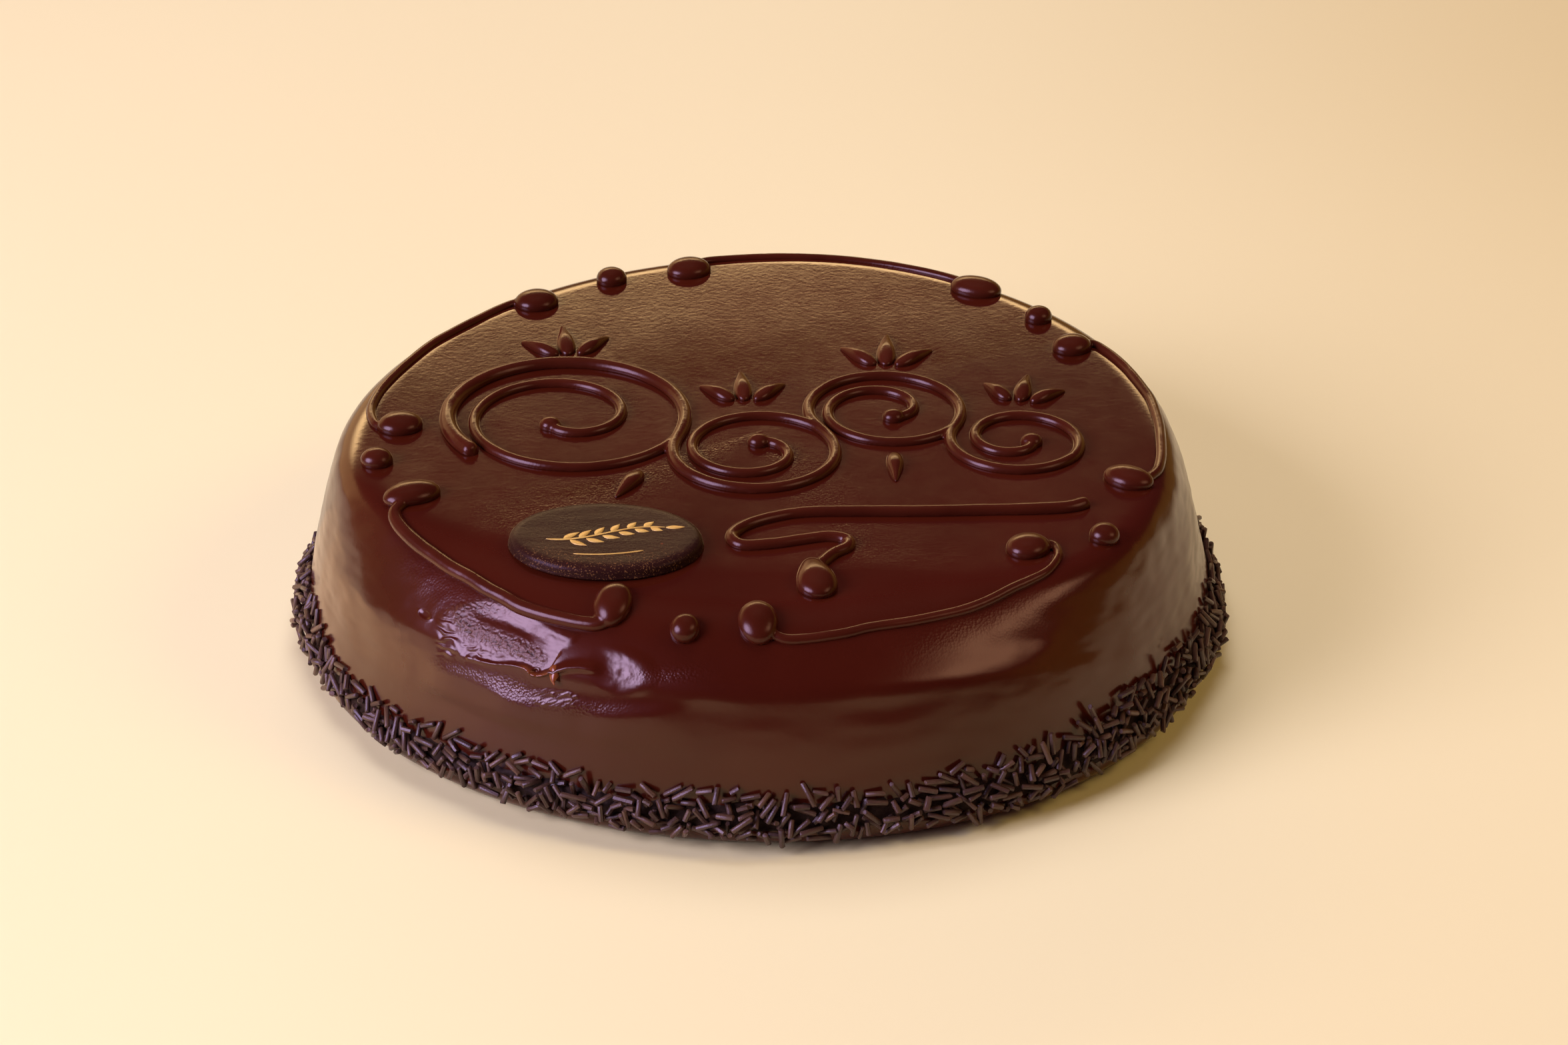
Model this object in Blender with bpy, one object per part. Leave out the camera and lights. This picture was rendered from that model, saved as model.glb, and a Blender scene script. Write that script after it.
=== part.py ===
"""Whole chocolate torte cake, glazed, piped and edged with chocolate sprinkles.

Frame: metres, +Z up. The origin is the middle of the flat underside, the cake's
front is -Y and its right is +X. Every size below is in millimetres and is turned
into metres as the meshes are made.

Pieces
  cake_body        the glazed cake, one solid because it is uncut
  sprinkle_band    the heap of sprinkles stuck around the foot, out to its outline
  plaque           the oval chocolate plaque
  scroll_1..5      piped border scrolls: a thin bead with a drop at each end
  dot_1..5         single piped drops between the border scrolls
  vine             piped running scroll in the middle
  leaf_1..         piped leaves round the vine
  flourish         piped swash under the vine, ending in a large drop
"""
import bpy
import bmesh
import math
from mathutils import Vector

MM = 0.001

# ----------------------------------------------------------------- named sizes
HEIGHT = 52.4            # glazed height
BASE_R = 120.0           # radius of the wall's line carried down to the base
WALL_DRAW = 0.2090       # the wall leans in by this much for each mm of height
SHOULDER_W = 11.0        # the rounded top edge: how far in it reaches
SHOULDER_H = 13.0        # ... and how far down
SHOULDER_POWER = 2.35    # how full the rounding is, 2 is an ellipse
FOOT_R = 113.0           # flat underside
FOOT_RISE = 5.0          # the foot is rounded under up to this height
TOP_SHIFT = (-1.1, 0.3)   # the top sits this far off the base's middle

# The outline isn't a true circle: two and three lobes round the wall.
LOBES = ((2, -0.003, 0.012), (3, -0.010, -0.011))

BODY_SEGMENTS = 72
GAP = 0.3                # clearance between touching pieces

# Scraped patch on the front-left shoulder: middle and half-widths, in degrees
# round the wall and in mm down from the top, with its depth.
SCRAPES = ((229.0, 17.0, 9.0, 9.0, 1.5),
           (251.0, 9.0, 13.0, 8.0, 1.2))

# Sprinkle band
BAND_SEGMENTS = 80
BAND_FOOT = 4.0          # the band's lowest line above the base
BAND_TOP = 16.6          # its usual top edge
BAND_BULGE = 4.5         # how far it stands out from the wall
BAND_UNEVEN = 1.3        # ragged height of the top edge

# Piping
BEAD_HEIGHT = 0.62       # bead height over its width
DROP_HEIGHT = 4.0
BEAD_SECTION = 5         # points over the half-round section

PLAQUE_AT = (-39.0, -62.0)
PLAQUE_HALF = (24.0, 17.7)
PLAQUE_THICK = 3.0
PLAQUE_TURN = -2.0


# ------------------------------------------------------------------- utilities
def clear_scene():
    for ob in list(bpy.data.objects):
        bpy.data.objects.remove(ob, do_unlink=True)


def material(name, colour, roughness, metallic=0.0):
    mat = bpy.data.materials.new(name)
    mat.use_nodes = True
    bsdf = mat.node_tree.nodes["Principled BSDF"]
    bsdf.inputs["Base Color"].default_value = (*colour, 1.0)
    bsdf.inputs["Roughness"].default_value = roughness
    bsdf.inputs["Metallic"].default_value = metallic
    return mat


def new_object(name, bm, mat, smooth_angle=40.0):
    bmesh.ops.recalc_face_normals(bm, faces=bm.faces)
    bmesh.ops.scale(bm, vec=(MM, MM, MM), verts=bm.verts)
    mesh = bpy.data.meshes.new(name)
    bm.to_mesh(mesh)
    bm.free()
    mesh.shade_smooth()
    mesh.set_sharp_from_angle(angle=math.radians(smooth_angle))
    mesh.materials.append(mat)
    ob = bpy.data.objects.new(name, mesh)
    bpy.context.scene.collection.objects.link(ob)
    return ob


def smoothstep(t):
    t = max(0.0, min(1.0, t))
    return t * t * (3.0 - 2.0 * t)


# ------------------------------------------------------------------ body shape
def lobes(angle):
    """How far the outline swells at this angle, as a factor near 1."""
    return 1.0 + sum(c * math.cos(n * angle) + s * math.sin(n * angle) for n, c, s in LOBES)


def wall_radius(z):
    """Nominal wall radius at a height below the shoulder, with the foot tucked in."""
    r = BASE_R - WALL_DRAW * z
    if z < FOOT_RISE:
        t = z / FOOT_RISE
        full = BASE_R - WALL_DRAW * FOOT_RISE
        r = FOOT_R + (full - FOOT_R) * math.sqrt(max(0.0, 1.0 - (1.0 - t) ** 2))
    return r


SHOULDER_Z = HEIGHT - SHOULDER_H
SHOULDER_R = BASE_R - WALL_DRAW * SHOULDER_Z      # where the wall meets the rounding
FLAT_R = SHOULDER_R - SHOULDER_W                  # where the rounding meets the top


def shoulder_z(rho):
    """Height of the rounded edge at a nominal radius."""
    t = min(1.0, max(0.0, (rho - FLAT_R) / SHOULDER_W))
    return SHOULDER_Z + SHOULDER_H * (1.0 - t ** SHOULDER_POWER) ** (1.0 / SHOULDER_POWER)


def top_z(x, y):
    """Height of the glaze above a point in plan, over the flat top and the rounding."""
    x, y = x - TOP_SHIFT[0], y - TOP_SHIFT[1]
    rho = math.hypot(x, y) / lobes(math.atan2(y, x))
    return HEIGHT if rho <= FLAT_R else shoulder_z(rho)


def place(rho, z, angle):
    """A nominal profile point carried round to an angle of the real outline."""
    k = rho * lobes(angle)
    lean = z / HEIGHT
    return Vector((k * math.cos(angle) + TOP_SHIFT[0] * lean,
                   k * math.sin(angle) + TOP_SHIFT[1] * lean, z))


def scrape_depth(angle, down):
    """Depth of the scraped patches at an angle and a distance down from the top."""
    deg = math.degrees(angle) % 360.0
    depth = 0.0
    for a, half_a, d, half_d, deep in SCRAPES:
        u = (deg - a) / half_a
        v = (down - d) / half_d
        q = u * u + v * v
        if q < 1.0:
            depth = max(depth, deep * smoothstep((1.0 - q) * 1.6))
    return depth


def body_profile():
    """Nominal (radius, height) from the middle of the underside up to the top's middle."""
    pts = [(0.0, 0.0), (FOOT_R * 0.55, 0.0), (FOOT_R, 0.0)]
    for z in (0.7, 2.2, FOOT_RISE):
        pts.append((wall_radius(z), z))
    for i in range(1, 5):
        z = FOOT_RISE + (SHOULDER_Z - FOOT_RISE) * i / 4.0
        pts.append((wall_radius(z), z))
    for i in range(1, 8):
        a = 0.5 * math.pi * i / 8.0
        rho = FLAT_R + SHOULDER_W * math.cos(a) ** (2.0 / SHOULDER_POWER)
        z = SHOULDER_Z + SHOULDER_H * math.sin(a) ** (2.0 / SHOULDER_POWER)
        pts.append((rho, z))
    pts += [(FLAT_R, HEIGHT), (FLAT_R * 0.6, HEIGHT), (0.0, HEIGHT)]
    return pts


def make_body(mat):
    bm = bmesh.new()
    rings = []
    profile = body_profile()
    for j, (rho, z) in enumerate(profile):
        if rho == 0.0:
            rings.append([bm.verts.new(place(0.0, z, 0.0))])
            continue
        ring = []
        for i in range(BODY_SEGMENTS):
            a = 2.0 * math.pi * i / BODY_SEGMENTS
            p = place(rho, z, a)
            if 0.0 < z < HEIGHT:
                # pushed straight into the rounding, inward and down
                d = scrape_depth(a, HEIGHT - z)
                lift = smoothstep((z - SHOULDER_Z + 6.0) / SHOULDER_H)
                inward = Vector((-math.cos(a), -math.sin(a), 0.0)) * (1.0 - 0.5 * lift)
                p = p + (inward + Vector((0.0, 0.0, -0.8 * lift))) * d
            ring.append(bm.verts.new(p))
        rings.append(ring)
    for low, high in zip(rings, rings[1:]):
        n = BODY_SEGMENTS
        for i in range(n):
            k = (i + 1) % n
            if len(low) == 1:
                bm.faces.new((low[0], high[k], high[i]))
            elif len(high) == 1:
                bm.faces.new((low[i], low[k], high[0]))
            else:
                bm.faces.new((low[i], low[k], high[k], high[i]))
    return new_object("cake_body", bm, mat, 60.0)


# -------------------------------------------------------------- sprinkle band
def ripple(angle, seed, octaves=((5, 1.0), (9, 0.8), (14, 0.7), (23, 0.8), (37, 0.6))):
    """A repeatable uneven run of hills round the cake, about -1 to 1."""
    total = 0.0
    weight = 0.0
    for n, amount in octaves:
        phase = math.fmod(math.sin(n * 12.9898 + seed * 78.233) * 43758.5453, 1.0) * 2.0 * math.pi
        total += amount * math.sin(n * angle + phase)
        weight += amount * amount
    return total / math.sqrt(weight) / 1.4


def hills(angle, spots):
    """Sum of soft hills round the cake, each at an angle in degrees with a width and a height."""
    deg = math.degrees(angle) % 360.0
    return sum(h * math.exp(-(((deg - at + 180.0) % 360.0 - 180.0) / w) ** 2) for at, w, h in spots)


def band_top(angle):
    """Top edge of the band: usual at the front left, highest at the right front."""
    spots = ((195.0, 11.0, 3.4), (290.0, 20.0, 1.8), (322.0, 17.0, 5.4), (343.0, 15.0, 3.4), (15.0, 16.0, 1.6))
    return BAND_TOP + hills(angle, spots) + BAND_UNEVEN * ripple(angle, 1.0)


def band_foot(angle):
    """Lowest line of the band."""
    return BAND_FOOT + 0.5 * (1.0 + ripple(angle, 3.0)) + hills(angle, ((328.0, 22.0, 1.4), (205.0, 18.0, 0.8)))


def band_bulge(angle):
    """How far the band stands out from the wall: thinner where it was patted on sparsely."""
    return BAND_BULGE + hills(angle, ((205.0, 20.0, -1.6), (332.0, 20.0, -0.9))) + 0.7 * ripple(angle, 2.0)


def make_band(mat):
    bm = bmesh.new()
    rings = []
    for i in range(BAND_SEGMENTS):
        a = 2.0 * math.pi * i / BAND_SEGMENTS
        top = band_top(a)
        foot = band_foot(a)
        out = band_bulge(a)
        tall = top - foot
        section = [
            (GAP, foot + 0.2),
            (out * 0.55, foot),
            (out * 0.95, foot + 0.20 * tall),
            (out, foot + 0.42 * tall),
            (out * 0.74, foot + 0.72 * tall),
            (out * 0.36, top),
            (GAP, top - 0.5),
            (GAP, max(FOOT_RISE + 2.0, foot + 2.6)),
            (GAP + 0.15, max(FOOT_RISE, foot + 0.9)),
        ]
        ring = []
        for off, z in section:
            # the inner side follows the wall, a little further out than its facets
            k = wall_radius(z) + off / lobes(a)
            ring.append(bm.verts.new(place(k, z, a)))
        rings.append(ring)
    m = len(rings[0])
    for i in range(BAND_SEGMENTS):
        here, there = rings[i], rings[(i + 1) % BAND_SEGMENTS]
        for j in range(m):
            k = (j + 1) % m
            bm.faces.new((here[j], there[j], there[k], here[k]))
    return new_object("sprinkle_band", bm, mat, 60.0)


# ---------------------------------------------------------------------- piping
def smooth_path(points, step):
    """A smooth line through plan points, as evenly spaced points about step apart."""
    pts = [Vector(p) for p in points]
    ends = [2.0 * pts[0] - pts[1]] + pts + [2.0 * pts[-1] - pts[-2]]
    fine = []
    for p0, p1, p2, p3 in zip(ends, ends[1:], ends[2:], ends[3:]):
        for i in range(16):
            t = i / 16.0
            fine.append(0.5 * ((2.0 * p1) + (p2 - p0) * t + (2.0 * p0 - 5.0 * p1 + 4.0 * p2 - p3) * t * t
                               + (3.0 * p1 - p0 - 3.0 * p2 + p3) * t ** 3))
    fine.append(pts[-1])
    return resample(fine, step)


def resample(fine, step):
    run = [0.0]
    for a, b in zip(fine, fine[1:]):
        run.append(run[-1] + (b - a).length)
    count = max(3, int(round(run[-1] / step)))
    out = []
    k = 0
    for i in range(count + 1):
        s = run[-1] * i / count
        while k < len(run) - 2 and run[k + 1] < s:
            k += 1
        t = (s - run[k]) / max(1e-9, run[k + 1] - run[k])
        out.append(fine[k].lerp(fine[k + 1], t))
    return out


def settle(bm, raised=0.0):
    """Sets a flat-bottomed piece down on the glaze, following the rounded edge.
    Where the glaze falls away the vertical gap grows, to keep the true clearance."""
    for v in bm.verts:
        z = top_z(v.co.x, v.co.y)
        v.co.z += z + GAP + raised + 0.12 * min(3.0, HEIGHT - z)


def bead_mesh(path, width_at, keel=False):
    """A half-round bead along a plan path. width_at(distance, length) is its width.
    A keel is a line of points under its middle, which lets it follow the rounded edge."""
    bm = bmesh.new()
    run = [0.0]
    for a, b in zip(path, path[1:]):
        run.append(run[-1] + (b - a).length)
    length = run[-1]
    rings = []
    for i, p in enumerate(path):
        q = path[max(0, i - 1)]
        r = path[min(len(path) - 1, i + 1)]
        along = (r - q).normalized()
        side = Vector((-along.y, along.x))
        half = 0.5 * width_at(run[i], length)
        ring = []
        for j in range(BEAD_SECTION):
            a = math.pi * j / (BEAD_SECTION - 1)
            c = math.cos(a)
            xy = p + side * (half * c)
            ring.append(bm.verts.new((xy.x, xy.y, 2.0 * half * BEAD_HEIGHT * math.sin(a))))
        if keel:
            ring.append(bm.verts.new((p.x, p.y, 0.0)))
        rings.append(ring)
    for here, there in zip(rings, rings[1:]):
        for j in range(len(here)):
            k = (j + 1) % len(here)
            bm.faces.new((here[j], here[k], there[k], there[j]))
    bm.faces.new(rings[0])
    bm.faces.new(list(reversed(rings[-1])))
    return bm


def even_width(width, thick_start=1.0, thick_end=1.0, round_start=True, round_end=True):
    """Width along a bead: even, swelling to either end, with round ends."""
    def at(s, length):
        t = s / length
        w = width * (1.0 + (thick_start - 1.0) * (1.0 - t) ** 3 + (thick_end - 1.0) * t ** 3)
        tip = 0.5 * w
        if round_start and s < tip:
            w *= max(0.35, math.sqrt(max(0.0, 1.0 - (1.0 - s / tip) ** 2)))
        if round_end and length - s < tip:
            w *= max(0.35, math.sqrt(max(0.0, 1.0 - (1.0 - (length - s) / tip) ** 2)))
        return w
    return at


def drop_mesh(x, y, half_long, half_wide, height, turn=0.0, tail=0.0, sides=12):
    """A piped drop: an oval dome, drawn out to one end where tail is over 0."""
    bm = bmesh.new()
    n = sides
    ca, sa = math.cos(math.radians(turn)), math.sin(math.radians(turn))

    def ring(k, z):
        out = []
        for i in range(n):
            a = 2.0 * math.pi * i / n
            u = half_long * k * math.cos(a)
            v = half_wide * k * math.sin(a)
            if tail > 0.0:
                # narrower toward +u, so the drop has a root and a point
                v *= 1.0 - tail * smoothstep(0.5 + 0.5 * math.cos(a)) * 0.8
            out.append(bm.verts.new((x + u * ca - v * sa, y + u * sa + v * ca, z)))
        return out

    under = ring(0.55, 0.0)
    rings = [under] + [ring(math.cos(math.radians(a)), height * math.sin(math.radians(a))) for a in (0, 32, 62)]
    top = bm.verts.new((x, y, height))
    middle = bm.verts.new((x, y, 0.0))
    for low, high in zip(rings, rings[1:]):
        for i in range(n):
            k = (i + 1) % n
            bm.faces.new((low[i], low[k], high[k], high[i]))
    for i in range(n):
        k = (i + 1) % n
        bm.faces.new((rings[-1][i], rings[-1][k], top))
        bm.faces.new((under[k], under[i], middle))
    return bm


def joined(name, meshes, mat):
    """One solid from a bead and the drops and beads it runs into."""
    base = None
    for i, bm in enumerate(meshes):
        # undersides lie at three levels, so that no two of them share a plane
        settle(bm, 0.0 if i == 0 else 0.03 + 0.03 * (i % 2))
        if base is None:
            base = new_object(name, bm, mat, 50.0)
            continue
        tool = new_object("%s_joint_%d" % (name, i), bm, mat, 50.0)
        tool.hide_render = True
        tool.display_type = "WIRE"
        mod = base.modifiers.new("join_%d" % i, "BOOLEAN")
        mod.operation = "UNION"
        mod.solver = "EXACT"
        mod.object = tool
    return base


# Border scrolls: the bead's plan points, its width, and a drop for each end as
# (x, y, half length, half width, turn in degrees).
SCROLLS = (
    # left
    (((-66, 74.7), (-70, 73.6), (-74.9, 68.7), (-80, 62.2), (-84.9, 55.8), (-89.9, 48.7), (-94.1, 40.1),
      (-98.3, 30.1), (-101.2, 21.5), (-102.6, 14.3), (-103, 8.4), (-101.9, 2.7), (-100.1, -0.5), (-96.9, -0.7)), 2.4,
     ((-63.5, 73.9, 6.0, 5.4, 10), (-94.5, -0.1, 5.9, 5.2, 15))),
    # front left
    (((-90.5, -42.2), (-92.2, -46.7), (-91.6, -51.3), (-89, -57.2), (-85, -63.6), (-81, -68.8), (-76.3, -74.4),
      (-71.7, -78.8), (-67.1, -83.6), (-62.4, -87.6), (-58.5, -90.8), (-53.2, -93.9), (-47.9, -96.4), (-43.1, -98.3),
      (-39.1, -99.1), (-36.2, -97.5), (-36, -94.6)), 3.0,
     ((-88.5, -37.9, 7.4, 4.9, 25), (-36.2, -92.4, 6.6, 4.7, 80))),
    # front right
    (((0.5, -103), (5.1, -105.4), (10.1, -105.1), (15.1, -104.2), (20.1, -102.8), (25.1, -100.9), (35.1, -97.8),
      (45.1, -93.6), (50.1, -90.8), (55.1, -86.9), (60.1, -81.8), (64.4, -78), (68.7, -73.3), (71.2, -67.7),
      (71.9, -63.4), (70.6, -59.3), (67, -60.2)), 2.2,
     ((-1.3, -100.6, 6.2, 4.9, 95), (64.6, -61.7, 5.6, 5.1, 30))),
    # right
    (((83.9, 52.3), (87.4, 52.5), (90.1, 49.1), (92.8, 44.3), (95.1, 39.1), (97, 33.7), (98.9, 27.8), (100.6, 21.8),
      (101.4, 13.8), (101.8, 5.9), (101.6, -1.9), (101.2, -9.6), (100.5, -15.1), (99.3, -19.9), (96.7, -24.2)), 2.5,
     ((81.2, 50.3, 5.4, 4.7, 25), (91.5, -25.3, 6.7, 4.6, -28))),
    # back
    (((-20.5, 99.7), (-17.8, 102.2), (-10.3, 104.1), (0, 105.6), (9.7, 106), (19.7, 105.2), (29.7, 102.9),
      (38.8, 99.5), (45.4, 96.3), (50.2, 93.3), (54, 90)), 2.4,
     ((-22.5, 95.7, 6.2, 5.2, 20), (56.6, 85.8, 7.2, 5.0, -20))),
)

# Single drops: x, y and radius.
DOTS = ((-98.9, -19.7, 4.1), (-43.7, 89.2, 4.3), (73.0, 68.0, 3.8), (83.7, -55.2, 3.8), (-18.7, -103.1, 3.8))

# Running scroll: touching circles that the stem passes over and under by turns.
VINE_START = (-52.0, 6.0)     # middle of the first circle
VINE_RADII = (31.0, 21.0, 20.0, 17.0)
VINE_TURNS = (-20.0, 35.0, -25.0)  # direction from each circle to the next, in degrees
VINE_WIDTH = 3.0
VINE_BEGIN = 224.0            # where the stem starts on the first circle, in degrees
CURL_TURNS = (1.3, 1.12, 1.1, 1.05)
CURL_EYE = (6.4, 4.8, 4.6, 4.2)   # radius on which each curl ends


def vine_circles():
    x, y = VINE_START
    out = [(Vector((x, y)), VINE_RADII[0])]
    for r, turn in zip(VINE_RADII[1:], VINE_TURNS):
        c, last = out[-1]
        d = math.radians(turn)
        out.append((c + Vector((math.cos(d), math.sin(d))) * (last + r), r))
    return out


def arc(centre, radius, start, sweep, step=4.0):
    n = max(4, int(round(abs(math.radians(sweep)) * radius / step)))
    return [centre + Vector((math.cos(a), math.sin(a))) * radius
            for a in (math.radians(start + sweep * i / n) for i in range(n + 1))]


def curl(centre, radius, eye, start, sweep, step=3.7):
    """A spiral that begins inside the stem, a little back along it, and winds in to the eye."""
    fine = []
    start -= math.copysign(math.degrees(1.7 / radius), sweep)
    for i in range(161):
        t = i / 160.0
        r = radius - 0.2 - (radius - eye) * t ** 1.12
        a = math.radians(start + sweep * t)
        fine.append(centre + Vector((math.cos(a), math.sin(a))) * r)
    return resample(fine, step)


def vine_strokes():
    """The stem as one stroke, and a curl for each circle with its end point."""
    circles = vine_circles()
    stem = []
    curls = []
    start = VINE_BEGIN
    spin = -1.0
    for k, (c, r) in enumerate(circles):
        if k < len(circles) - 1:
            leave = VINE_TURNS[k]
        else:
            leave = VINE_TURNS[-1] + 180.0 + spin * 170.0
        sweep = (leave - start) % 360.0
        if spin < 0:
            sweep -= 360.0
        part = arc(c, r, start, sweep)
        stem += part if not stem else part[1:]
        curls.append(curl(c, r, CURL_EYE[k], start + sweep, spin * 360.0 * CURL_TURNS[k]))
        start = leave + 180.0
        spin = -spin
    return stem, curls


# Sprays of leaves: plan place of the root, direction, half length of the middle leaf, leaves.
SPRAYS = (
    (-6.0, 14.0, 94.0, 8.5, 3),
    (31.0, 35.5, 88.0, 9.5, 3),
    (65.5, 15.5, 80.0, 8.0, 3),
    (-53.0, 39.5, 98.0, 9.0, 3),
    (-30.5, -21.5, 246.0, 7.5, 1),
    (32.5, -9.5, 271.0, 7.5, 1),
)
SPRAY_ROOT = 2.7         # how far the leaves start from their root's point
SPRAY_FAN = 44.0         # angle between neighbouring leaves


def leaves():
    """Middle, half length, half width and direction of every leaf."""
    out = []
    for x, y, turn, half, count in SPRAYS:
        for k in range(count):
            off = k - (count - 1) // 2
            size = half if off == 0 else half * 0.74
            d = turn + SPRAY_FAN * off
            reach = SPRAY_ROOT + size + (1.2 if off else 0.0)
            out.append((x + reach * math.cos(math.radians(d)), y + reach * math.sin(math.radians(d)),
                        size, size * 0.20 + 1.4, d))
    return out


# The swash under the vine.
FLOURISH = ((81, -37.5), (76, -40.5), (68, -41.8), (56, -42.6), (40, -43.6), (24, -44.0), (10, -44.8), (1, -48.0),
            (-5.2, -52.3), (-8.2, -57.5), (-5.6, -62.0), (2, -61.2), (9, -59.0), (15.5, -57.2), (20.2, -58.6),
            (20.2, -62.4), (16.6, -66.0), (13.6, -71.0))
FLOURISH_WIDTH = 3.2
FLOURISH_DROP = (12.4, -78.0, 9.0, 6.0, 98)


def make_scrolls(mat):
    for i, (points, width, drops) in enumerate(SCROLLS, 1):
        path = smooth_path(points, 5.0)
        meshes = [bead_mesh(path, even_width(width, round_start=False, round_end=False), keel=True)]
        for x, y, a, b, turn in drops:
            meshes.append(drop_mesh(x, y, a, b, DROP_HEIGHT, turn))
        joined("scroll_%d" % i, meshes, mat)


def make_dots(mat):
    for i, (x, y, r) in enumerate(DOTS, 1):
        bm = drop_mesh(x, y, r, r * 0.97, DROP_HEIGHT - 0.3, 12.0 * i)
        settle(bm)
        new_object("dot_%d" % i, bm, mat, 60.0)


def make_vine(mat):
    stem, curls = vine_strokes()
    meshes = [bead_mesh(stem, even_width(VINE_WIDTH, thick_start=1.5, round_end=False))]
    for path in curls:
        meshes.append(bead_mesh(path, even_width(VINE_WIDTH * 0.93, round_start=False)))
        end = path[-1]
        meshes.append(drop_mesh(end.x, end.y, 2.9, 2.7, 2.9))
    joined("vine", meshes, mat)


def make_leaves(mat):
    for i, (x, y, a, b, turn) in enumerate(leaves(), 1):
        bm = drop_mesh(x, y, a, b, 2.6, turn, tail=0.75, sides=10)
        settle(bm)
        new_object("leaf_%d" % i, bm, mat, 60.0)


def make_flourish(mat):
    path = smooth_path(FLOURISH, 4.0)
    x, y, a, b, turn = FLOURISH_DROP
    joined("flourish", [bead_mesh(path, even_width(FLOURISH_WIDTH, thick_start=1.15, round_end=False)),
                        drop_mesh(x, y, a, b, DROP_HEIGHT + 0.4, turn, tail=0.5)], mat)


# ---------------------------------------------------------------------- plaque
def make_plaque(mat):
    bm = bmesh.new()
    n = 36
    levels = ((0.0, 0.0), (0.97, 0.0), (1.0, 0.5), (0.985, 1.5), (0.94, 2.55), (0.90, 2.9), (0.84, 3.0), (0.0, 3.0))
    ca, sa = math.cos(math.radians(PLAQUE_TURN)), math.sin(math.radians(PLAQUE_TURN))
    rings = []
    for k, z in levels:
        z = HEIGHT + GAP + z * PLAQUE_THICK / 3.0
        if k == 0.0:
            rings.append([bm.verts.new((PLAQUE_AT[0], PLAQUE_AT[1], z))])
            continue
        ring = []
        for i in range(n):
            a = 2.0 * math.pi * i / n
            # the rim keeps the same width all round the oval
            inset = (1.0 - k) * PLAQUE_HALF[1]
            u = (PLAQUE_HALF[0] - inset) * math.cos(a)
            v = (PLAQUE_HALF[1] - inset) * math.sin(a)
            ring.append(bm.verts.new((PLAQUE_AT[0] + u * ca - v * sa, PLAQUE_AT[1] + u * sa + v * ca, z)))
        rings.append(ring)
    for low, high in zip(rings, rings[1:]):
        for i in range(n):
            k = (i + 1) % n
            if len(low) == 1:
                bm.faces.new((low[0], high[k], high[i]))
            elif len(high) == 1:
                bm.faces.new((low[i], low[k], high[0]))
            else:
                bm.faces.new((low[i], low[k], high[k], high[i]))
    return new_object("plaque", bm, mat, 35.0)


# ------------------------------------------------------------------------ main
clear_scene()

glaze = material("glaze", (0.060, 0.016, 0.009), 0.32)
piping = material("piping", (0.072, 0.020, 0.012), 0.30)
plaque_chocolate = material("plaque_chocolate", (0.030, 0.010, 0.010), 0.45)
sprinkle = material("sprinkle", (0.060, 0.026, 0.016), 0.42)

make_body(glaze)
make_band(sprinkle)
make_plaque(plaque_chocolate)
make_scrolls(piping)
make_dots(piping)
make_vine(piping)
make_leaves(piping)
make_flourish(piping)
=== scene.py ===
"""Looks of the chocolate torte cake: glaze, piping, plaque, sprinkles, floor, lights and camera.
Lengths are in millimetres until a mesh is made. The frame is the CAD model's own."""
import math

import bmesh
import bpy
import numpy as np
from mathutils import Matrix, Vector


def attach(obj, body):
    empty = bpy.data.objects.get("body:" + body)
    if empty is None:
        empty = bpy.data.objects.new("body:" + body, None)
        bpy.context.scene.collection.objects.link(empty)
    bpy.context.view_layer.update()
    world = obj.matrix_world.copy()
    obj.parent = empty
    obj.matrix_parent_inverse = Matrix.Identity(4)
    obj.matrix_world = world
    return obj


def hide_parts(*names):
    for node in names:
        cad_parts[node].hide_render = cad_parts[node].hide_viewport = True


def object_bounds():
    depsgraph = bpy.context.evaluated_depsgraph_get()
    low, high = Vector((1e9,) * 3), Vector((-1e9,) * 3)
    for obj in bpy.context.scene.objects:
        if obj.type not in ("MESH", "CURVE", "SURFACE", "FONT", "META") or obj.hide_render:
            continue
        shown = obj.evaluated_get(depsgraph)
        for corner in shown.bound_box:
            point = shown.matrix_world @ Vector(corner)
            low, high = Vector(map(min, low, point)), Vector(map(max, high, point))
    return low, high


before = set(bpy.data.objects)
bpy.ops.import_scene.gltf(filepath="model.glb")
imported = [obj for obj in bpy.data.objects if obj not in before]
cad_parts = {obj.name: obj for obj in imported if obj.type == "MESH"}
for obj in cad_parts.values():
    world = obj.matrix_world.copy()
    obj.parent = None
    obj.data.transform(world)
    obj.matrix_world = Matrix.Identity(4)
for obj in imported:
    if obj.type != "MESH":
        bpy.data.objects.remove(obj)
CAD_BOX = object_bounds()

MM = 0.001

# ------------------------------------------------------------------ sizes shared with the CAD model
HEIGHT = 52.4
BASE_R = 120.0
WALL_DRAW = 0.2090
SHOULDER_W = 11.0
SHOULDER_H = 13.0
SHOULDER_POWER = 2.35
FOOT_R = 113.0
FOOT_RISE = 5.0
TOP_SHIFT = (-1.1, 0.3)
LOBES = ((2, -0.003, 0.012), (3, -0.010, -0.011))
SHOULDER_Z = HEIGHT - SHOULDER_H
SHOULDER_R = BASE_R - WALL_DRAW * SHOULDER_Z


def lobes(a):
    return 1.0 + sum(c * np.cos(n * a) + s * np.sin(n * a) for n, c, s in LOBES)


def smoothstep(t):
    t = np.clip(t, 0.0, 1.0)
    return t * t * (3.0 - 2.0 * t)


def bump(x, centre, half):
    """A soft hill, 1 at the centre and 0 at half away."""
    return smoothstep(1.0 - np.abs(x - centre) / half)


def gauss(x, centre, sigma):
    return np.exp(-0.5 * ((x - centre) / sigma) ** 2)


def turn(a, b):
    """Signed difference between two angles in degrees."""
    return (a - b + 180.0) % 360.0 - 180.0


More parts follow.
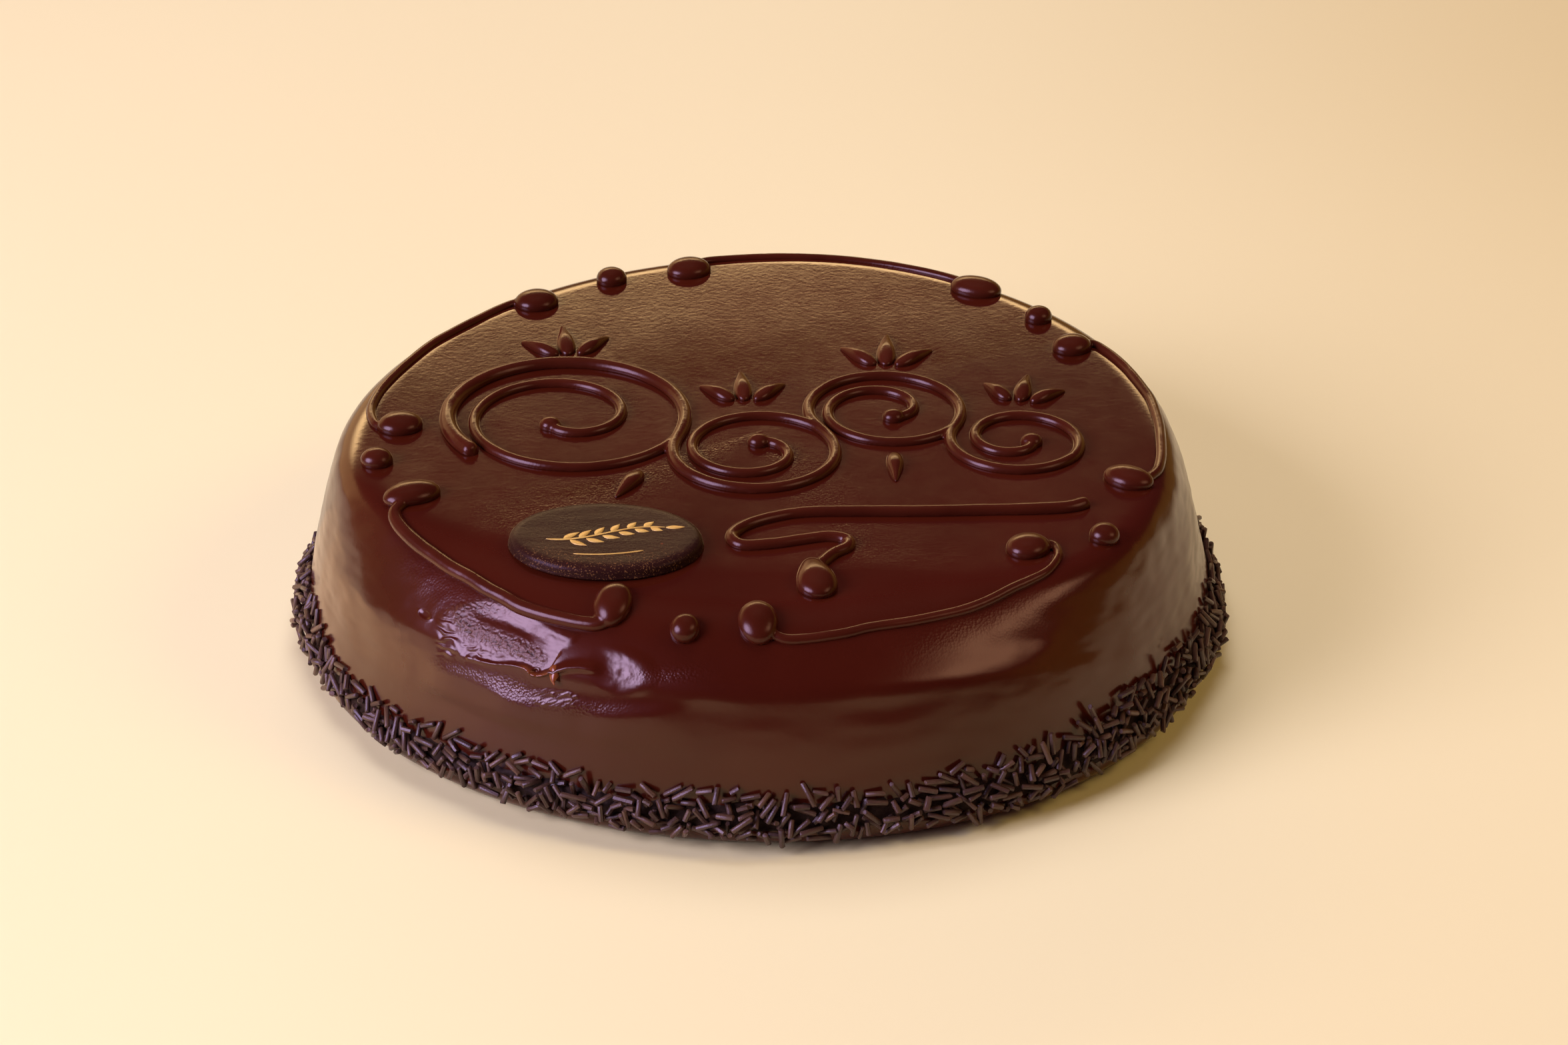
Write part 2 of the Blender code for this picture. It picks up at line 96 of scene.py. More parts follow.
# ------------------------------------------------------------------ noise
def _hash(ix, iy, iz, seed):
    h = (ix * 374761393 + iy * 668265263 + iz * 2147483647 + seed * 1274126177) & 0xFFFFFFFF
    h = ((h ^ (h >> 13)) * 1274126177) & 0xFFFFFFFF
    h = ((h ^ (h >> 15)) * 2246822519) & 0xFFFFFFFF
    return (h ^ (h >> 16)) & 0xFFFFFFFF


def noise3(p, seed=0):
    """Gradient noise at points (..., 3), about -1 to 1."""
    p = np.asarray(p, float)
    i = np.floor(p).astype(np.int64)
    f = p - i
    w = f * f * f * (f * (f * 6 - 15) + 10)
    total = np.zeros(p.shape[:-1])
    for dx in (0, 1):
        for dy in (0, 1):
            for dz in (0, 1):
                h = _hash(i[..., 0] + dx, i[..., 1] + dy, i[..., 2] + dz, seed)
                a = (h & 0xFFFF) / 65536.0 * 2.0 * np.pi
                c = ((h >> 16) & 0xFFFF) / 32768.0 - 1.0
                s = np.sqrt(np.maximum(0.0, 1.0 - c * c))
                g = (s * np.cos(a) * (f[..., 0] - dx) + s * np.sin(a) * (f[..., 1] - dy) + c * (f[..., 2] - dz))
                wx = w[..., 0] if dx else 1 - w[..., 0]
                wy = w[..., 1] if dy else 1 - w[..., 1]
                wz = w[..., 2] if dz else 1 - w[..., 2]
                total += g * wx * wy * wz
    return total * 1.5


def fbm(p, octaves=3, seed=0, gain=0.5):
    out, amp, norm = 0.0, 1.0, 0.0
    p = np.asarray(p, float)
    for k in range(octaves):
        out = out + amp * noise3(p * 2.0 ** k, seed + 17 * k)
        norm += amp
        amp *= gain
    return out / norm


# ------------------------------------------------------------------ profile of the glaze
def run_profile(t0, t1, zc, a, b, r0=118.9, n=700):
    """Wall and shoulder as (radius, height, tilt), from the foot up to the flat top.
    The wall's tilt grows from t0 to t1 at height zc, then turns over to lie flat."""
    zs = np.linspace(FOOT_RISE, zc, n)
    tilt = np.radians(t0 + (t1 - t0) * (zs - FOOT_RISE) / (zc - FOOT_RISE))
    r = r0 - np.concatenate([[0], np.cumsum(np.tan((tilt[1:] + tilt[:-1]) / 2) * np.diff(zs))])
    u = np.linspace(0, 1, 3 * n)
    s = u ** a / (u ** a + (1 - u) ** b + 1e-12)
    ph = np.radians(t1 + (90 - t1) * s)
    up = np.concatenate([[0], np.cumsum(np.cos((ph[1:] + ph[:-1]) / 2))]) / (3 * n - 1)
    back = np.concatenate([[0], np.cumsum(np.sin((ph[1:] + ph[:-1]) / 2))]) / (3 * n - 1)
    length = (HEIGHT - zc) / up[-1]
    rr, zz = r[-1] - back * length, zc + up * length
    return np.concatenate([r, rr[1:]]), np.concatenate([zs, zz[1:]]), np.concatenate([tilt, ph[1:]])


SHARP = run_profile(9.9, 13.4, 36.0, 4.6, 1.55)


def bent_profile(bends, r0=118.9, n=2799):
    """The same from (height, tilt) pairs, for the sagging edge at the front."""
    h = np.array([b[0] for b in bends])
    t = np.array([b[1] for b in bends])
    zs = np.concatenate([np.linspace(FOOT_RISE, 36, n // 3, endpoint=False),
                         36 + (HEIGHT - 36) * (1 - (1 - np.linspace(0, 1, n - n // 3)) ** 2.0)])
    tilt = np.interp(zs, h, t)
    for _ in range(40):
        tilt[1:-1] = 0.25 * tilt[:-2] + 0.5 * tilt[1:-1] + 0.25 * tilt[2:]
    tilt = np.radians(tilt)
    mid = np.tan(np.minimum((tilt[1:] + tilt[:-1]) / 2, math.radians(88.5)))
    r = r0 - np.concatenate([[0], np.cumsum(mid * np.diff(zs))])
    return r, zs, tilt


ROUND = bent_profile(((4, 10), (30, 14), (36.5, 16), (38.5, 22), (39.7, 33), (41.0, 43), (43, 48.5), (45.5, 52), (48, 57.5),
                      (50, 66), (51, 74), (51.7, 82), (52, 88)))


def roundness(deg):
    """1 where the top edge is softly rounded, at the front, falling to 0 round the back."""
    side = turn(deg, 268.0)
    return 0.03 + 0.97 * smoothstep(1.35 - np.where(side > 0, side / 42.0, -side / 60.0))


def sample_profile(count_wall, power=1.0):
    """Matched points on both profiles: fractions along each one's length."""
    out = []
    for r, z, tilt in (SHARP, ROUND):
        s = np.concatenate([[0], np.cumsum(np.hypot(np.diff(r), np.diff(z)))])
        out.append((s, r, z))
    return out


# ------------------------------------------------------------------ the glazed body
# The scraped patch was drawn as seen from the front, so its features are laid out in that view:
# U to the right and V down, about 21 units to a millimetre, from a fixed eye point.
EYE = np.array([4.632, -997.803, 568.529])
EYE_F = np.array([0.0, 0.87839223, -0.47794047])
EYE_R = np.array([0.9999315, 0.00559397, 0.01028098])
EYE_U = np.array([-0.01170432, 0.47790774, 0.87833206])


def front_uv(x, y, z):
    p = np.stack([x, y, z], -1) - EYE
    d = p @ EYE_F
    return (1176 + 6533.333 * (p @ EYE_R) / d - 640) * 3.6, (784 - 6533.333 * (p @ EYE_U) / d - 870) * 3.6


def line_distance(u, v, q):
    """Distance to a polyline, how far along it the nearest point lies, and its length."""
    best = np.full(u.shape, 1e9)
    along = np.zeros(u.shape)
    side = np.zeros(u.shape)
    run = 0.0
    for (x0, y0), (x1, y1) in zip(q, q[1:]):
        dx, dy = x1 - x0, y1 - y0
        n = math.hypot(dx, dy)
        t = np.clip(((u - x0) * dx + (v - y0) * dy) / (n * n), 0, 1)
        ex, ey = u - x0 - t * dx, v - y0 - t * dy
        d = np.hypot(ex, ey)
        m = d < best
        best = np.where(m, d, best)
        along = np.where(m, run + t * n, along)
        side = np.where(m, (dx * ey - dy * ex) / n, side)
        run += n
    return best, along, side, run


def inside_distance(u, v, q):
    """Signed distance to a closed outline, positive inside."""
    inside = np.zeros(u.shape, bool)
    for (x0, y0), (x1, y1) in zip(q, list(q[1:]) + [q[0]]):
        cross = ((y0 > v) != (y1 > v)) & (u < (x1 - x0) * (v - y0) / (y1 - y0 + 1e-9) + x0)
        inside ^= cross
    d = line_distance(u, v, list(q) + [q[0]])[0]
    return np.where(inside, d, -d)


def spun(u, v, cu, cv, deg):
    c, s = math.cos(math.radians(deg)), math.sin(math.radians(deg))
    return (u - cu) * c + (v - cv) * s, -(u - cu) * s + (v - cv) * c


PATCH = [(60, 165), (105, 140), (180, 118), (330, 88), (450, 140), (560, 190), (700, 235), (800, 262), (835, 296),
         (790, 345), (735, 385), (700, 425), (672, 470), (655, 503), (628, 514), (598, 517), (566, 500), (530, 475),
         (480, 462), (430, 456), (370, 452), (300, 440), (240, 428), (190, 402), (150, 330), (95, 290), (60, 240)]
LIP = [(225, 424), (290, 440), (350, 452), (430, 456), (485, 463), (530, 476), (558, 496), (578, 513), (602, 518),
       (632, 514), (662, 505)]
RIDGE = [(690, 508), (715, 494), (765, 481), (830, 478), (900, 486), (960, 500)]
CREASE = [(835, 290), (790, 345), (735, 385), (700, 425), (672, 470), (655, 503)]
BAND_TWO = [(800, 742), (1000, 750), (1200, 742), (1500, 700)]
BAND_LOW = [(-60, 470), (60, 500), (200, 545), (330, 600), (440, 655), (560, 690), (700, 705), (860, 700), (1000, 690)]


def scraped(x, y, z, nx, ny, nz):
    """Height added along the normal across the scraped patch, and its masks."""
    u, v = front_uv(x, y, z)
    # the nearly flat face it was scraped to, curving over a little towards the top
    az, el = math.radians(239.0), math.radians(34.0)
    flat = np.array([math.cos(el) * math.cos(az), math.cos(el) * math.sin(az), math.sin(el)])
    rise = np.array([-math.sin(el) * math.cos(az), -math.sin(el) * math.sin(az), math.cos(el)])
    a0 = math.radians(236.0)
    base = np.array([111.3 * math.cos(a0), 111.3 * math.sin(a0), 38.2])
    off = np.stack([x - base[0], y - base[1], z - base[2]], -1)
    dev = np.radians(turn(np.degrees(np.arctan2(y, x)), 238.5))
    depth = off @ flat + 0.40 * 110.0 * (1 - np.cos(dev)) * math.cos(el) + 0.0115 * (off @ rise - 3.0) ** 2 + 0.45
    dist = inside_distance(u, v, PATCH)
    high = line_distance(u, v, [(60, 165), (180, 112), (330, 80), (450, 130), (560, 180), (700, 225), (835, 280)])[2]
    edge = 9.0 + 42.0 * smoothstep((390.0 - u) / 200.0) + 34.0 * smoothstep((u - 690.0) / 60.0)
    mask = smoothstep(dist / edge + 0.35)
    w = 1.2 * np.tanh(np.clip(-depth, -1.6, 0.7) / 1.2) * smoothstep(dist / edge + 0.35) * smoothstep(high / 70.0)

    # folds and streaks left by the scraper, running down to the right
    s1, s2 = spun(u, v, 400, 330, 24.0)
    streak = fbm(np.stack([s1 / 150.0, s2 / 17.0, 0 * u], -1), 3, 31)
    fold = fbm(np.stack([s1 / 62.0, s2 / 34.0, 0 * u + 5], -1), 3, 37)
    fine = fbm(np.stack([s1 / 26.0, s2 / 12.0, 0 * u + 7], -1), 3, 39)
    w += mask * (0.11 * fold + 0.030 * streak)
    # hollow across its middle
    d, al, side, run = line_distance(u, v, [(250, 160), (400, 208), (520, 258), (620, 300)])
    ends = smoothstep((u - 190) / 140.0) * smoothstep((700.0 - u) / 180.0)
    w += -0.75 * np.where(side < 0, np.exp(-(side / 62.0) ** 2), np.exp(-(side / 44.0) ** 2)) * ends * smoothstep(dist / 40.0)
    # torn band below it, cracked and wrinkled
    d, al, side, run = line_distance(u, v, [(150, 222), (260, 275), (400, 335), (520, 380), (620, 420)])
    torn = np.exp(-(d / 44.0) ** 2) * smoothstep((u - 130) / 50.0) * smoothstep((690 - u) / 120.0) * mask
    cr = noise3(np.stack([s1 / 46.0, s2 / 15.0, 0 * u + 2], -1), 43) + 0.5 * noise3(np.stack([s1 / 20.0, s2 / 8.0, 0 * u + 2], -1), 44)
    crack = np.exp(-(cr / 0.085) ** 2)
    w += torn * (0.12 + 0.18 * fine - 0.32 * crack)
    # small wrinkles in the upper left
    up = np.exp(-((u - 250) / 165.0) ** 2 - ((v - 155) / 55.0) ** 2) * mask
    cr2 = noise3(np.stack([s1 / 30.0, s2 / 22.0, 0 * u + 12], -1), 45)
    crack2 = np.exp(-(cr2 / 0.10) ** 2)
    w += up * (0.22 * fine - 0.14 * crack2)
    # brush-like ridges at the left end
    br = np.exp(-((u - 108) / 46.0) ** 4) * smoothstep((v - 195) / 25.0) * smoothstep((420 - v) / 25.0)
    w += 0.13 * br * np.cos(2 * np.pi * (v - 0.32 * u + 26 * noise3(np.stack([u / 60.0, v / 50.0, 0 * u], -1), 3)) / 41.0)
    # lumps pushed down under it
    lumps = np.exp(-((u - 265) / 100.0) ** 4 - ((v - 395 - 0.25 * (u - 265)) / 42.0) ** 4)
    w += lumps * (0.30 * np.abs(noise3(np.stack([u / 40.0, v / 30.0, 0 * u + 1], -1), 47)) + 0.06 * fine)
    # rolled lip along the lower edge, steep on its lower side
    d, al, side, run = line_distance(u, v, LIP)
    t = al / run
    size = 0.25 + 0.75 * smoothstep(t * 1.5 - 0.35) + 0.20 * noise3(np.stack([al / 60.0, 0 * al, 0 * al + 3], -1), 49)
    spread = np.where(side > 0, 6.0, 17.0)
    lip = np.exp(-(d / spread) ** 2)
    w += size * lip
    # a curl where it folds over itself
    cu, cv = spun(u, v, 580, 497, -20.0)
    rad = np.hypot(cu / 1.25, cv)
    w += -0.55 * np.exp(-(rad / 9.0) ** 2) + 0.30 * np.exp(-((rad - 17.0) / 6.0) ** 2)
    # ridge to its right, sharp below and hollow above
    d, al, side, run = line_distance(u, v, RIDGE)
    t = al / run
    spread = np.where(side > 0, 9.0 + 14.0 * t, 24.0 + 16.0 * t)
    w += (1.25 - 0.85 * t) * np.exp(-(d / spread) ** 2) * smoothstep((1.0 - t) / 0.25)
    # second dent: pressed flat, with a dimple in it
    e1, e2 = spun(u, v, 1062, 490, 16.0)
    er = np.hypot(e1 / 150.0, e2 / 102.0)
    er = er * (1 + 0.12 * noise3(np.stack([np.cos(np.arctan2(e2, e1)) * 1.4, np.sin(np.arctan2(e2, e1)) * 1.4, 0 * e1], -1), 51))
    dish = smoothstep((1.45 - er) / 1.0)
    az2, el2 = math.radians(245.5), math.radians(33.0)
    flat2 = np.array([math.cos(el2) * math.cos(az2), math.cos(el2) * math.sin(az2), math.sin(el2)])
    rise2 = np.array([-math.sin(el2) * math.cos(az2), -math.sin(el2) * math.sin(az2), math.cos(el2)])
    a2 = math.radians(253.0)
    base2 = np.array([108.9 * math.cos(a2), 108.9 * math.sin(a2), 40.6])
    off2 = np.stack([x - base2[0], y - base2[1], z - base2[2]], -1)
    depth2 = off2 @ flat2 + 0.010 * (off2 @ rise2) ** 2 + 0.1
    w += 0.8 * np.tanh(-depth2 / 0.8) * dish
    w += -0.09 * np.exp(-(np.hypot(u - 1052, (v - 500) * 1.2) / 24.0) ** 2) + 0.06 * np.exp(-((np.hypot(u - 1052, (v - 500) * 1.2) - 44.0) / 18.0) ** 2) * smoothstep((u - 1000) / 60.0)
    w += dish * 0.07 * fbm(np.stack([e1 / 40.0, e2 / 30.0, 0 * e1], -1), 2, 53)
    # long low swellings in the wall under the patch
    strong = 0.50 + 0.36 * np.exp(-((u - 450) / 120.0) ** 2)
    for q_, high_, up_, down_ in ((BAND_LOW, 1.15 * strong, 62.0, 240.0), (BAND_TWO, 0.62, 70.0, 240.0)):
        d, al, side, run = line_distance(u, v, q_)
        swell = np.where(side < 0, np.exp(-(d / up_) ** 2), np.exp(-(d / down_) ** 2))
        w += high_ * swell * smoothstep(al / 200.0) * smoothstep((run - al) / 300.0)
    # scratched scar on it
    c1, c2 = spun(u, v, 690, 640, 6.0)
    scar = smoothstep((1.15 - np.hypot(c1 / 135.0, c2 / 48.0)) / 0.35)
    k1, k2 = spun(u, v, 690, 640, -18.0)
    ln = noise3(np.stack([k1 / 85.0, k2 / 15.0, 0 * u + 6], -1), 57)
    w += scar * (0.16 * np.exp(-(ln / 0.11) ** 2) + 0.05 * noise3(np.stack([k1 / 40.0, k2 / 10.0, 0 * u], -1), 58))
    # nick at the far left
    n1, n2 = spun(u, v, -10, 185, 35.0)
    nick = np.hypot(n1 / 34.0, n2 / 22.0)
    w += -0.22 * smoothstep((1.2 - nick) / 0.8) + 0.14 * np.exp(-((nick - 1.25) / 0.22) ** 2) * smoothstep(0.5 + n2 / 20.0)
    near = (np.abs(turn(np.degrees(np.arctan2(y, x)), 240.0)) < 27) & (z > 22) & (y < 0)
    ease = smoothstep((27 - np.abs(turn(np.degrees(np.arctan2(y, x)), 240.0))) / 3.0) * smoothstep((z - 22) / 3.0)
    w = np.where(near, w * ease, 0.0)
    pebble = (0.95 * np.exp(-((u - 480) / 115.0) ** 2 - ((v - 600 - 0.35 * (u - 480)) / 62.0) ** 2)
              + 0.60 * np.exp(-((u - 230) / 190.0) ** 2 - ((v - 505 - 0.30 * (u - 230)) / 36.0) ** 2)
              + 0.95 * np.exp(-((u - 1330) / 170.0) ** 2 - ((v - 510 + 0.05 * (u - 1330)) / 44.0) ** 2)
              + 0.50 * np.exp(-((u - 880) / 230.0) ** 2 - ((v - 690) / 40.0) ** 2))
    # painted highlight: a mask along the rolled lip's edge, where the glaze is given a bright orange colour for the
    # light it catches
    lip_highlight = 0.8 * lip ** 3 * smoothstep((u - 480) / 60.0)
    zero = np.zeros_like(w)
    pick = lambda k: np.where(near, k, zero)
    # the crack mask marks where the glaze colour is darkened as painted shade in its cracks and wrinkle creases
    return w, {"torn": pick(np.clip(mask + 0.7 * dish, 0, 1)), "rough": pick(np.clip(torn + 0.6 * up + 0.2 * scar, 0, 1)),
               "crack": pick(np.clip(torn * crack + 0.7 * up * crack2, 0, 1)), "pebble": pick(np.clip(pebble, 0, 1)),
               "lip": pick(np.clip(lip_highlight, 0, 1))}


def column_angles():
    return np.radians(np.concatenate([np.arange(218.0, 262.0, 0.11), np.arange(262.0, 578.0, 0.9)]) % 360.0)


def make_body_mesh():
    cols = column_angles()
    n = len(cols)
    rnd = roundness(np.degrees(cols))

    # fractions along the profile for the rows of the wall and the shoulder, closest at the shoulder
    (s0, r0, z0), (s1, r1, z1) = sample_profile(2)
    k = 1.0
    f = np.concatenate([np.linspace(0, 0.30, int(18 / k), endpoint=False), np.linspace(0.30, 0.92, int(175 / k), endpoint=False),
                        np.linspace(0.92, 1.0, int(16 / k))])
    ra, za = np.interp(f, s0 / s0[-1], r0), np.interp(f, s0 / s0[-1], z0)
    rb, zb = np.interp(f, s1 / s1[-1], r1), np.interp(f, s1 / s1[-1], z1)
    rho = ra[:, None] * (1 - rnd) + rb[:, None] * rnd
    z = za[:, None] * (1 - rnd) + zb[:, None] * rnd

    # foot and underside below, flat top above
    foot = []
    for zz in (0.0, 0.35, 1.0, 2.2, 3.6):
        t = zz / FOOT_RISE
        foot.append((FOOT_R + (118.9 - FOOT_R) * math.sqrt(1 - (1 - t) ** 2), zz))
    under = [(FOOT_R * q, 0.0) for q in (0.25, 0.5, 0.75, 0.94)]
    low_r = np.array([p[0] for p in under + foot])[:, None] * np.ones((1, n))
    low_z = np.array([p[1] for p in under + foot])[:, None] * np.ones((1, n))
    edge = rho[-1]
    q = np.linspace(0, 1, 30)[1:] ** 0.8
    top_r = edge[None, :] * (1 - q[:-1, None])
    top_z = np.full(top_r.shape, HEIGHT)
    rho = np.vstack([low_r, rho, top_r])
    z = np.vstack([low_z, z, top_z])
    rows = rho.shape[0]

    a = np.broadcast_to(cols, rho.shape)
    d = np.degrees(a) % 360.0
    lob = lobes(a)
    x = rho * lob * np.cos(a) + TOP_SHIFT[0] * z / HEIGHT
    y = rho * lob * np.sin(a) + TOP_SHIFT[1] * z / HEIGHT
    dr = np.gradient(rho, axis=0)
    dz = np.gradient(z, axis=0)
    ln = np.hypot(dr, dz) + 1e-9
    nr, nz = dz / ln, -dr / ln
    nx, ny = nr * np.cos(a), nr * np.sin(a)

    # gentle waves left as the glaze ran: long round the cake, short up the wall
    p = np.stack([x / 26.0, y / 26.0, z / 9.0], -1)
    wall = smoothstep((HEIGHT - 0.2 - z) / 4.0) * smoothstep((z - 3.0) / 6.0)
    w = 0.15 * fbm(p, 2, 3) * wall
    # broad runs down the right-hand wall
    q = np.stack([np.cos(a) * 6.5, np.sin(a) * 6.5, z / 11.0 + 0.5 * np.cos(2 * a)], -1)
    right_ = smoothstep(1.2 - np.abs(turn(d, 342.0)) / 52.0)
    w += 0.80 * fbm(q, 3, 11) * wall * right_
    left_ = smoothstep(1.2 - np.abs(turn(d, 200.0)) / 38.0)
    w += 0.40 * fbm(q * 1.3, 3, 12) * wall * left_
    # a faint, broken ring part way up the front wall
    ring_z = 38.3 + 1.6 * fbm(np.stack([np.cos(a) * 6.0, np.sin(a) * 6.0, np.full(a.shape, 0.5)], -1), 2, 5)
    front = smoothstep(1.25 - np.abs(turn(d, 285.0)) / 45.0)
    broken = 0.35 + 0.9 * smoothstep(0.5 + 1.4 * noise3(np.stack([np.cos(a) * 4.5, np.sin(a) * 4.5, 0 * a + 8.0], -1), 6))
    w += 0.11 * np.cos(2 * np.pi * (z - ring_z) / 10.5) * gauss(z, ring_z, 4.6) * front * broken
    # the flat top is nearly level
    top = smoothstep((z - HEIGHT + 1.0) / 0.9)
    w += 0.08 * fbm(np.stack([x / 60.0, y / 60.0, 0 * x + 2.0], -1), 2, 21) * top

    cut, masks = scraped(x, y, z, nx, ny, nz)
    w = w * (1 - 0.7 * masks["torn"]) + cut

    x = x + nx * w
    y = y + ny * w
    z2 = np.where(z <= 1e-6, 0.0, z + nz * w)
    verts = np.stack([x, y, z2], -1).reshape(-1, 3)
    bottom, cap = len(verts), len(verts) + 1
    verts = np.vstack([verts, [[0, 0, 0], [TOP_SHIFT[0], TOP_SHIFT[1], HEIGHT + 0.02]]])

    idx = np.arange(rows * n).reshape(rows, n)
    nxt = np.roll(idx, -1, axis=1)
    quads = np.stack([idx[:-1], nxt[:-1], nxt[1:], idx[1:]], -1).reshape(-1, 4)
    tris_low = np.stack([nxt[0], idx[0], np.full(n, bottom)], -1)
    tris_top = np.stack([idx[-1], nxt[-1], np.full(n, cap)], -1)
    pebble = masks["pebble"] + 0.35 * gauss(d, 222.0, 8.0) * gauss(z, 47.0, 3.5) + 0.30 * gauss(d, 292.0, 16.0) * gauss(z, 48.0, 3.0)
    attrs = {k_: np.concatenate([v_.reshape(-1), [0, 0]]) for k_, v_ in masks.items() if k_ != "pebble"}
    attrs["pebble"] = np.concatenate([np.clip(pebble, 0, 1).reshape(-1), [0, 0]])
    attrs["level"] = np.concatenate([(smoothstep((z - HEIGHT + 1.6) / 1.5)).reshape(-1), [0, 1]])

    # the torn peak that hangs from the lip: a little bent horn
    pv, pq, pt = peak_mesh()
    pq = pq + len(verts)
    pt = pt + len(verts)
    verts = np.vstack([verts, pv])
    # the horn takes the full lip mask, so it carries the same painted highlight colour all over
    for k_ in attrs:
        attrs[k_] = np.concatenate([attrs[k_], np.full(len(pv), 1.0 if k_ == "lip" else 0.0)])
    return verts, np.vstack([quads, pq]), np.vstack([tris_low, tris_top, pt]), attrs


def eye_ray(u, v):
    px, py = u / 3.6 + 640, v / 3.6 + 870
    d = EYE_F + EYE_R * (px - 1176) / 6533.333 - EYE_U * (py - 784) / 6533.333
    return d / np.linalg.norm(d)


def peak_mesh():
    """Horn from the lip, bending out and down, placed along fixed sight lines."""
    a = math.radians(243.4)
    out = np.array([math.cos(a), math.sin(a), 0.0])
    # distance along each sight line to the wall there
    def at(u, v, proud):
        d = eye_ray(u, v)
        t = np.linspace(900, 1250, 1400)
        p = EYE + t[:, None] * d
        r = np.hypot(p[:, 0], p[:, 1])
        zz = p[:, 2]
        i = int(np.argmax(r < 111.0 + (38.5 - zz) * 0.26 + proud))
        return p[i]
    line = [(688, 492, -0.3, 2.0), (690, 506, 0.5, 1.7), (687, 522, 1.1, 1.25), (683, 540, 1.55, 0.82), (684, 556, 1.8, 0.40), (690, 568, 2.1, 0.18)]
    fine = []
    pts = np.array([np.append(at(u, v, pr), rad) for u, v, pr, rad in line])
    s = np.linspace(0, len(line) - 1, 19)
    pts = np.stack([np.interp(s, range(len(line)), pts[:, k]) for k in range(4)], 1)
    for _ in range(2):
        pts[1:-1, :3] = 0.25 * pts[:-2, :3] + 0.5 * pts[1:-1, :3] + 0.25 * pts[2:, :3]
    sides = 14
    ang = np.linspace(0, 2 * np.pi, sides, endpoint=False)
    tang = np.gradient(pts[:, :3], axis=0)
    tang /= np.linalg.norm(tang, axis=1, keepdims=True)
    rings = []
    for p, t in zip(pts, tang):
        e1 = np.cross(t, out)
        e1 /= np.linalg.norm(e1)
        e2 = np.cross(t, e1)
        rings.append(p[:3] + p[3] * (np.cos(ang)[:, None] * e1 * 1.0 + np.sin(ang)[:, None] * e2 * 0.7))
    v = np.vstack(rings + [pts[0, :3][None], (pts[-1, :3] + tang[-1] * 0.12)[None]])
    m = len(rings)
    idx = np.arange(m * sides).reshape(m, sides)
    nxt = np.roll(idx, -1, axis=1)
    q = np.stack([idx[:-1], nxt[:-1], nxt[1:], idx[1:]], -1).reshape(-1, 4)
    c0, c1 = m * sides, m * sides + 1
    t = np.vstack([np.stack([nxt[0], idx[0], np.full(sides, c0)], -1), np.stack([idx[-1], nxt[-1], np.full(sides, c1)], -1)])
    # faces must look outwards
    centre = v[idx[0]].mean(0)
    f0 = v[q[0]]
    nrm = np.cross(f0[1] - f0[0], f0[2] - f0[0])
    if nrm @ (f0.mean(0) - centre) < 0:
        q = q[:, ::-1]
        t = t[:, ::-1]
    return v, q, t


def mesh_from(name, verts, quads=(), tris=(), attrs=None, smooth=True):
    me = bpy.data.meshes.new(name)
    verts = np.asarray(verts, np.float32) * MM
    quads = np.asarray(quads, np.int32).reshape(-1, 4)
    tris = np.asarray(tris, np.int32).reshape(-1, 3)
    me.vertices.add(len(verts))
    me.vertices.foreach_set("co", verts.reshape(-1))
    loops = np.concatenate([quads.reshape(-1), tris.reshape(-1)])
    me.loops.add(len(loops))
    me.loops.foreach_set("vertex_index", loops)
    starts = np.concatenate([np.arange(len(quads)) * 4, len(quads) * 4 + np.arange(len(tris)) * 3])
    me.polygons.add(len(starts))
    me.polygons.foreach_set("loop_start", starts.astype(np.int32))
    me.update(calc_edges=True)
    me.validate()
    if smooth:
        me.shade_smooth()
    for k, val in (attrs or {}).items():
        at = me.attributes.new(k, "FLOAT", "POINT")
        at.data.foreach_set("value", np.asarray(val, np.float32))
    return me


def add_object(name, me, mat, slot, *replaced):
    ob = bpy.data.objects.new(name, me)
    bpy.context.scene.collection.objects.link(ob)
    me.materials.clear()
    me.materials.append(mat)
    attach(ob, "root")
    if replaced:
        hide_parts(*replaced)
    return ob


